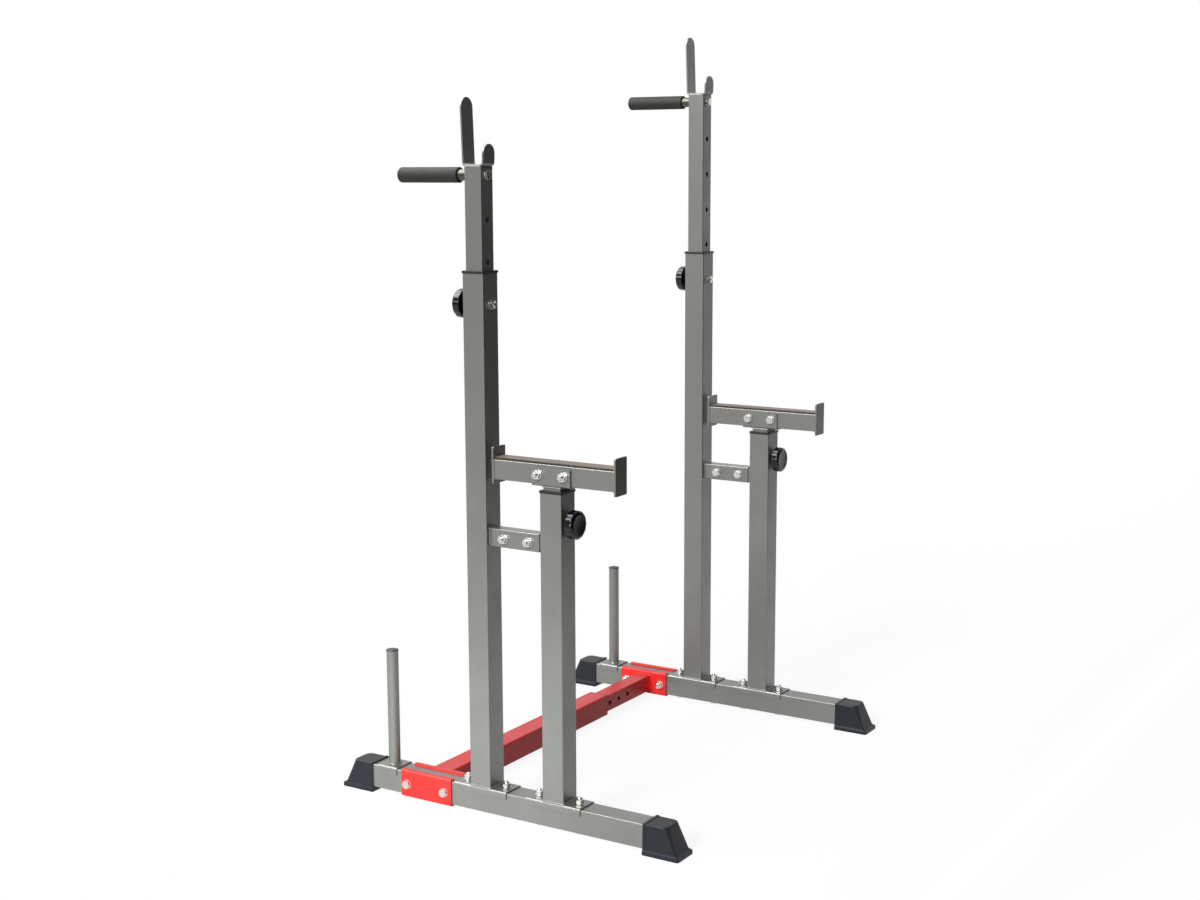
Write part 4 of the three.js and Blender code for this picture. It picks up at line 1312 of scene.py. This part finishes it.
start = left_beam.x + clamp_face
sleeve = along_x(square_tube(OUTER, start, sleeve_end))
sleeve = drilled(sleeve, [("Y", (lock_x, OUTER["size"] / 2, 0), bolt_hole, WALL_REACH)])
weld = moved(along_x(tube_weld(OUTER, SLIDER["weld"])), start)
plate = moved(turn(clamp_plate(), "Z", 180), left_beam.x)
crossbar = joined([sleeve, weld, moved(weld_nut(1), lock_x), plate])
moved(crossbar, y=crossbar_y, z=left_beam.z)
piece("crossbar_outer_weldment", crossbar, red_coat, "left_frame", "crossbar_sleeve")
print("crossbar sleeve", round(sleeve_end - start), "mm long")

start = right_beam.x - clamp_face
slider = along_x(square_tube(INNER, corners("crossbar_slider")[0].x, start))
steps = [i - (SLIDER["count"] - 1) / 2 for i in range(SLIDER["count"])]
holes = [("Y", (lock_x + i * SLIDER["pitch"], 0, 0), bolt_hole, TUBE_REACH) for i in steps]
slider = drilled(slider, holes)
weld = moved(turn(along_x(tube_weld(INNER, SLIDER["weld"])), "Z", 180), start)
plate = moved(clamp_plate(), right_beam.x)
crossbar = moved(joined([slider, weld, plate]), y=crossbar_y, z=right_beam.z)
piece("crossbar_inner_weldment", crossbar, red_coat, "right_frame", "crossbar_slider")
print("slider holes", SLIDER["count"])

# %% [markdown]
# A nylon bush closes the gap between the two tubes at the open end of the outer one. Its rim covers
# the saw cut of the outer tube. A short bolt in the nut on the rear face holds the width.

# %% Crossbar bush and width bolt
low, high = corners("crossbar_bush")
rim, corner = high.y - low.y, OUTER["corner"]
bush = ringed((
    (bore_size, 1, low.x), (skirt_size, 1.5, low.x), (skirt_size, 1.5, sleeve_end),
    (rim, corner, sleeve_end), (rim, corner, high.x - 0.6), (rim - 1.2, corner - 0.6, high.x),
    (bore_size + 1, 1.2, high.x), (bore_size, 1, high.x - 0.5),
))
bush = moved(along_x(bush), y=crossbar_y, z=left_beam.z)
piece("crossbar_end_bush", bush, bush_plastic, "left_frame", "crossbar_bush")

low, high = corners("width_bolt")
seat = high.y - BOLT["head"]
shank = turn(threaded(rod_radius, -1, 0, seat - low.y), "X", 180)
head = hexagon(BOLT["flats"], 0, BOLT["head"])
lock_bolt = moved(along_y(joined([turn(head, "Z", 10), shank])), lock_x, seat, left_beam.z)
piece("width_lock_bolt", lock_bolt, bright_zinc, "width_lock", "width_bolt")
print("width lock at x", round(lock_x), "mm")

# %% [markdown]
# ## The bolts of the frame
#
# All the frame's bolts are M10 with washers and nuts. The ones that hold the upright and the post
# stand in the beam with their nuts on top, and the others lie across. The depth that a bolt clamps is
# what is left of its length in the model, less its head, its nut, its washers and its tip.

# %% Frame bolts
fixed = BOLT["head"] + BOLT["nut"] + 2 * BOLT["washer"] + BOLT["tip"]
under_head = BOLT["head"] + BOLT["washer"]
connector_bolts = ("connector_bolt_rear", "connector_bolt_front")


def frame_bolt(side, label, axis, turned_by=0):
    """One bolt with its washers and nut, as long as its node along X or Z and at its place."""
    node = f"{side}_{label}"
    low, high = corners(node)
    length = (high - low)[axis]
    bolt = moved(bolt_and_nut(length - fixed), z=under_head - length / 2)
    if axis == 0:
        turn(along_x(bolt), "Z", turned_by)
    piece(f"{node}_m10", moved(bolt, *centre(node)), bright_zinc, body_of(side), node)


for side, outward in SIDES.items():
    for label in standing_bolts:
        frame_bolt(side, label, 2)
    for labels, head_side in ((clamp_bolts, outward), (connector_bolts, -outward)):
        for label in labels:
            frame_bolt(side, label, 0, 180 if head_side > 0 else 0)
print("bolts of a frame", len(standing_bolts + clamp_bolts + connector_bolts))

# %% [markdown]
# ## Floor, light and camera
#
# The stand was photographed on white. The floor is grey, so it throws little light back, but it glows
# for the camera and for mirrors. There it comes out white, and the stand's soft shadow stays. The
# world does the same: it is white to the camera and to mirrors, and a dimmer grey as light.

# %% Floor and world
GLOW = 0.9
WORLD_LIGHT = 0.2
FLOOR_SIZE = 60
WHITE = (1, 1, 1, 1)


def seen(tree):
    """1 on rays from the camera, off a gloss or through glass, and 0 on rays that only light."""
    path = add(tree, "ShaderNodeLightPath").outputs
    rays = combined(tree, "MAXIMUM", path["Is Camera Ray"], path["Is Glossy Ray"])
    return combined(tree, "MAXIMUM", rays, path["Is Transmission Ray"])


bpy.ops.mesh.primitive_plane_add(size=FLOOR_SIZE, location=(0, 0, 0))
floor = bpy.context.object
floor.name = "studio_floor"
material, tree, shader = shaded("white_studio_floor", {
    "Base Color": linear("#6E6E6E"), "Roughness": 0.9, "Specular IOR Level": 0, "Emission Color": WHITE,
})
tree.links.new(combined(tree, "MULTIPLY", seen(tree), GLOW), shader.inputs["Emission Strength"])
floor.data.materials.append(material)

world = bpy.data.worlds.new("studio")
bpy.context.scene.world = world
world.use_nodes = True
tree = world.node_tree
sky = tree.nodes["Background"].inputs
sky["Color"].default_value = WHITE
span = add(tree, "ShaderNodeMapRange", {"Value": seen(tree), "To Min": WORLD_LIGHT, "To Max": 1})
tree.links.new(span.outputs[0], sky["Strength"])
print("world light", WORLD_LIGHT)

# %% [markdown]
# A broad key light stands on the camera's left, so that the sides of the tubes are bright and their
# fronts fall dark, as in the photograph. A low soft box lights the foot of the near frame. A black
# flag on the other side darkens what those fronts mirror and shades the stand a little. A soft box
# overhead draws the bright line on every upper edge, and a grey card dims what the left faces mirror.

# %% Lamps
KEY = {"energy": 2.75, "direction": (1, -0.04, -0.6), "spread": 24}
LOW_BOX = {"energy": 3, "width": 0.5, "height": 0.16, "place": (-0.95, 0.13, 0.12)}


def lamp(name, kind, energy, direction, **settings):
    """A lamp that shines along a direction."""
    data = bpy.data.lights.new(name, kind)
    data.energy = energy
    for setting, value in settings.items():
        setattr(data, setting, value)
    thing = bpy.data.objects.new(name, data)
    bpy.context.scene.collection.objects.link(thing)
    thing.rotation_euler = Vector(direction).to_track_quat("-Z", "Y").to_euler()
    return thing


lamp("key", "SUN", KEY["energy"], KEY["direction"], angle=math.radians(KEY["spread"]))
low_box = lamp("low_soft_box", "AREA", LOW_BOX["energy"], (1, 0, 0), shape="RECTANGLE",
               size=LOW_BOX["width"], size_y=LOW_BOX["height"], color=(0.94, 0.98, 1))
low_box.location = LOW_BOX["place"]
low_box.visible_camera = False
low_box.visible_glossy = False
print("sun", KEY["energy"], "soft box", LOW_BOX["energy"])

# %% Studio cards
CARDS = (
    ("black_studio_flag", "#080808", 1, (0, -0.9, 1.45), (math.pi / 2, 0, 0), (3.2, 2.3, 1), True),
    ("overhead_soft_box", "#FFFFFF", 9, (-1.2, 1.7, 3), (0, 0, 0), (3.4, 2.4, 1), False),
    ("grey_studio_card", "#7C7B70", 1, (-4.6, 2.6, 2.2), (0, math.pi / 2, 0), (4, 5, 1), False),
)


def studio_card(name, code, glow, place, rotation, scale, flag):
    """A card that only mirrors and glosses see, and that shades the stand too if it is a flag."""
    material = shaded(name, {
        "Base Color": linear("#000000"), "Specular IOR Level": 0, "Emission Color": linear(code),
        "Emission Strength": glow,
    })[0]
    bpy.ops.mesh.primitive_plane_add(size=1, location=place, rotation=rotation)
    card = bpy.context.object
    card.name = name
    card.scale = scale
    card.data.materials.append(material)
    card.visible_camera = False
    card.visible_diffuse = flag
    card.visible_shadow = flag
    card.visible_transmission = False


for card in CARDS:
    studio_card(*card)
print("cards", len(CARDS))

# %% [markdown]
# The camera stands where the photographer stood. Its lens and place were worked out from the straight
# edges of the two frames, whose real sizes are known, and the small shift is how the picture was
# cropped.

# %% Camera
CAMERA = {
    "place": (-3.233, -1.969, 1.316), "azimuth": -58.46, "pitch": 9.26, "roll": -0.14,
    "lens": 52.3, "sensor": 36, "shift": (-0.013, 0.0008),
}
data = bpy.data.cameras.new("photograph")
data.lens = CAMERA["lens"]
data.sensor_width = CAMERA["sensor"]
data.shift_x, data.shift_y = CAMERA["shift"]
camera = bpy.data.objects.new("photograph", data)
bpy.context.scene.collection.objects.link(camera)
heading = Euler((math.radians(90 - CAMERA["pitch"]), 0, math.radians(CAMERA["azimuth"])))
tilt = Matrix.Rotation(math.radians(CAMERA["roll"]), 3, "Z")
camera.matrix_world = Matrix.Translation(CAMERA["place"]) @ (heading.to_matrix() @ tilt).to_4x4()
bpy.context.scene.camera = camera
bpy.context.scene.view_settings.view_transform = "Standard"
print("camera", CAMERA["place"], "lens", CAMERA["lens"])
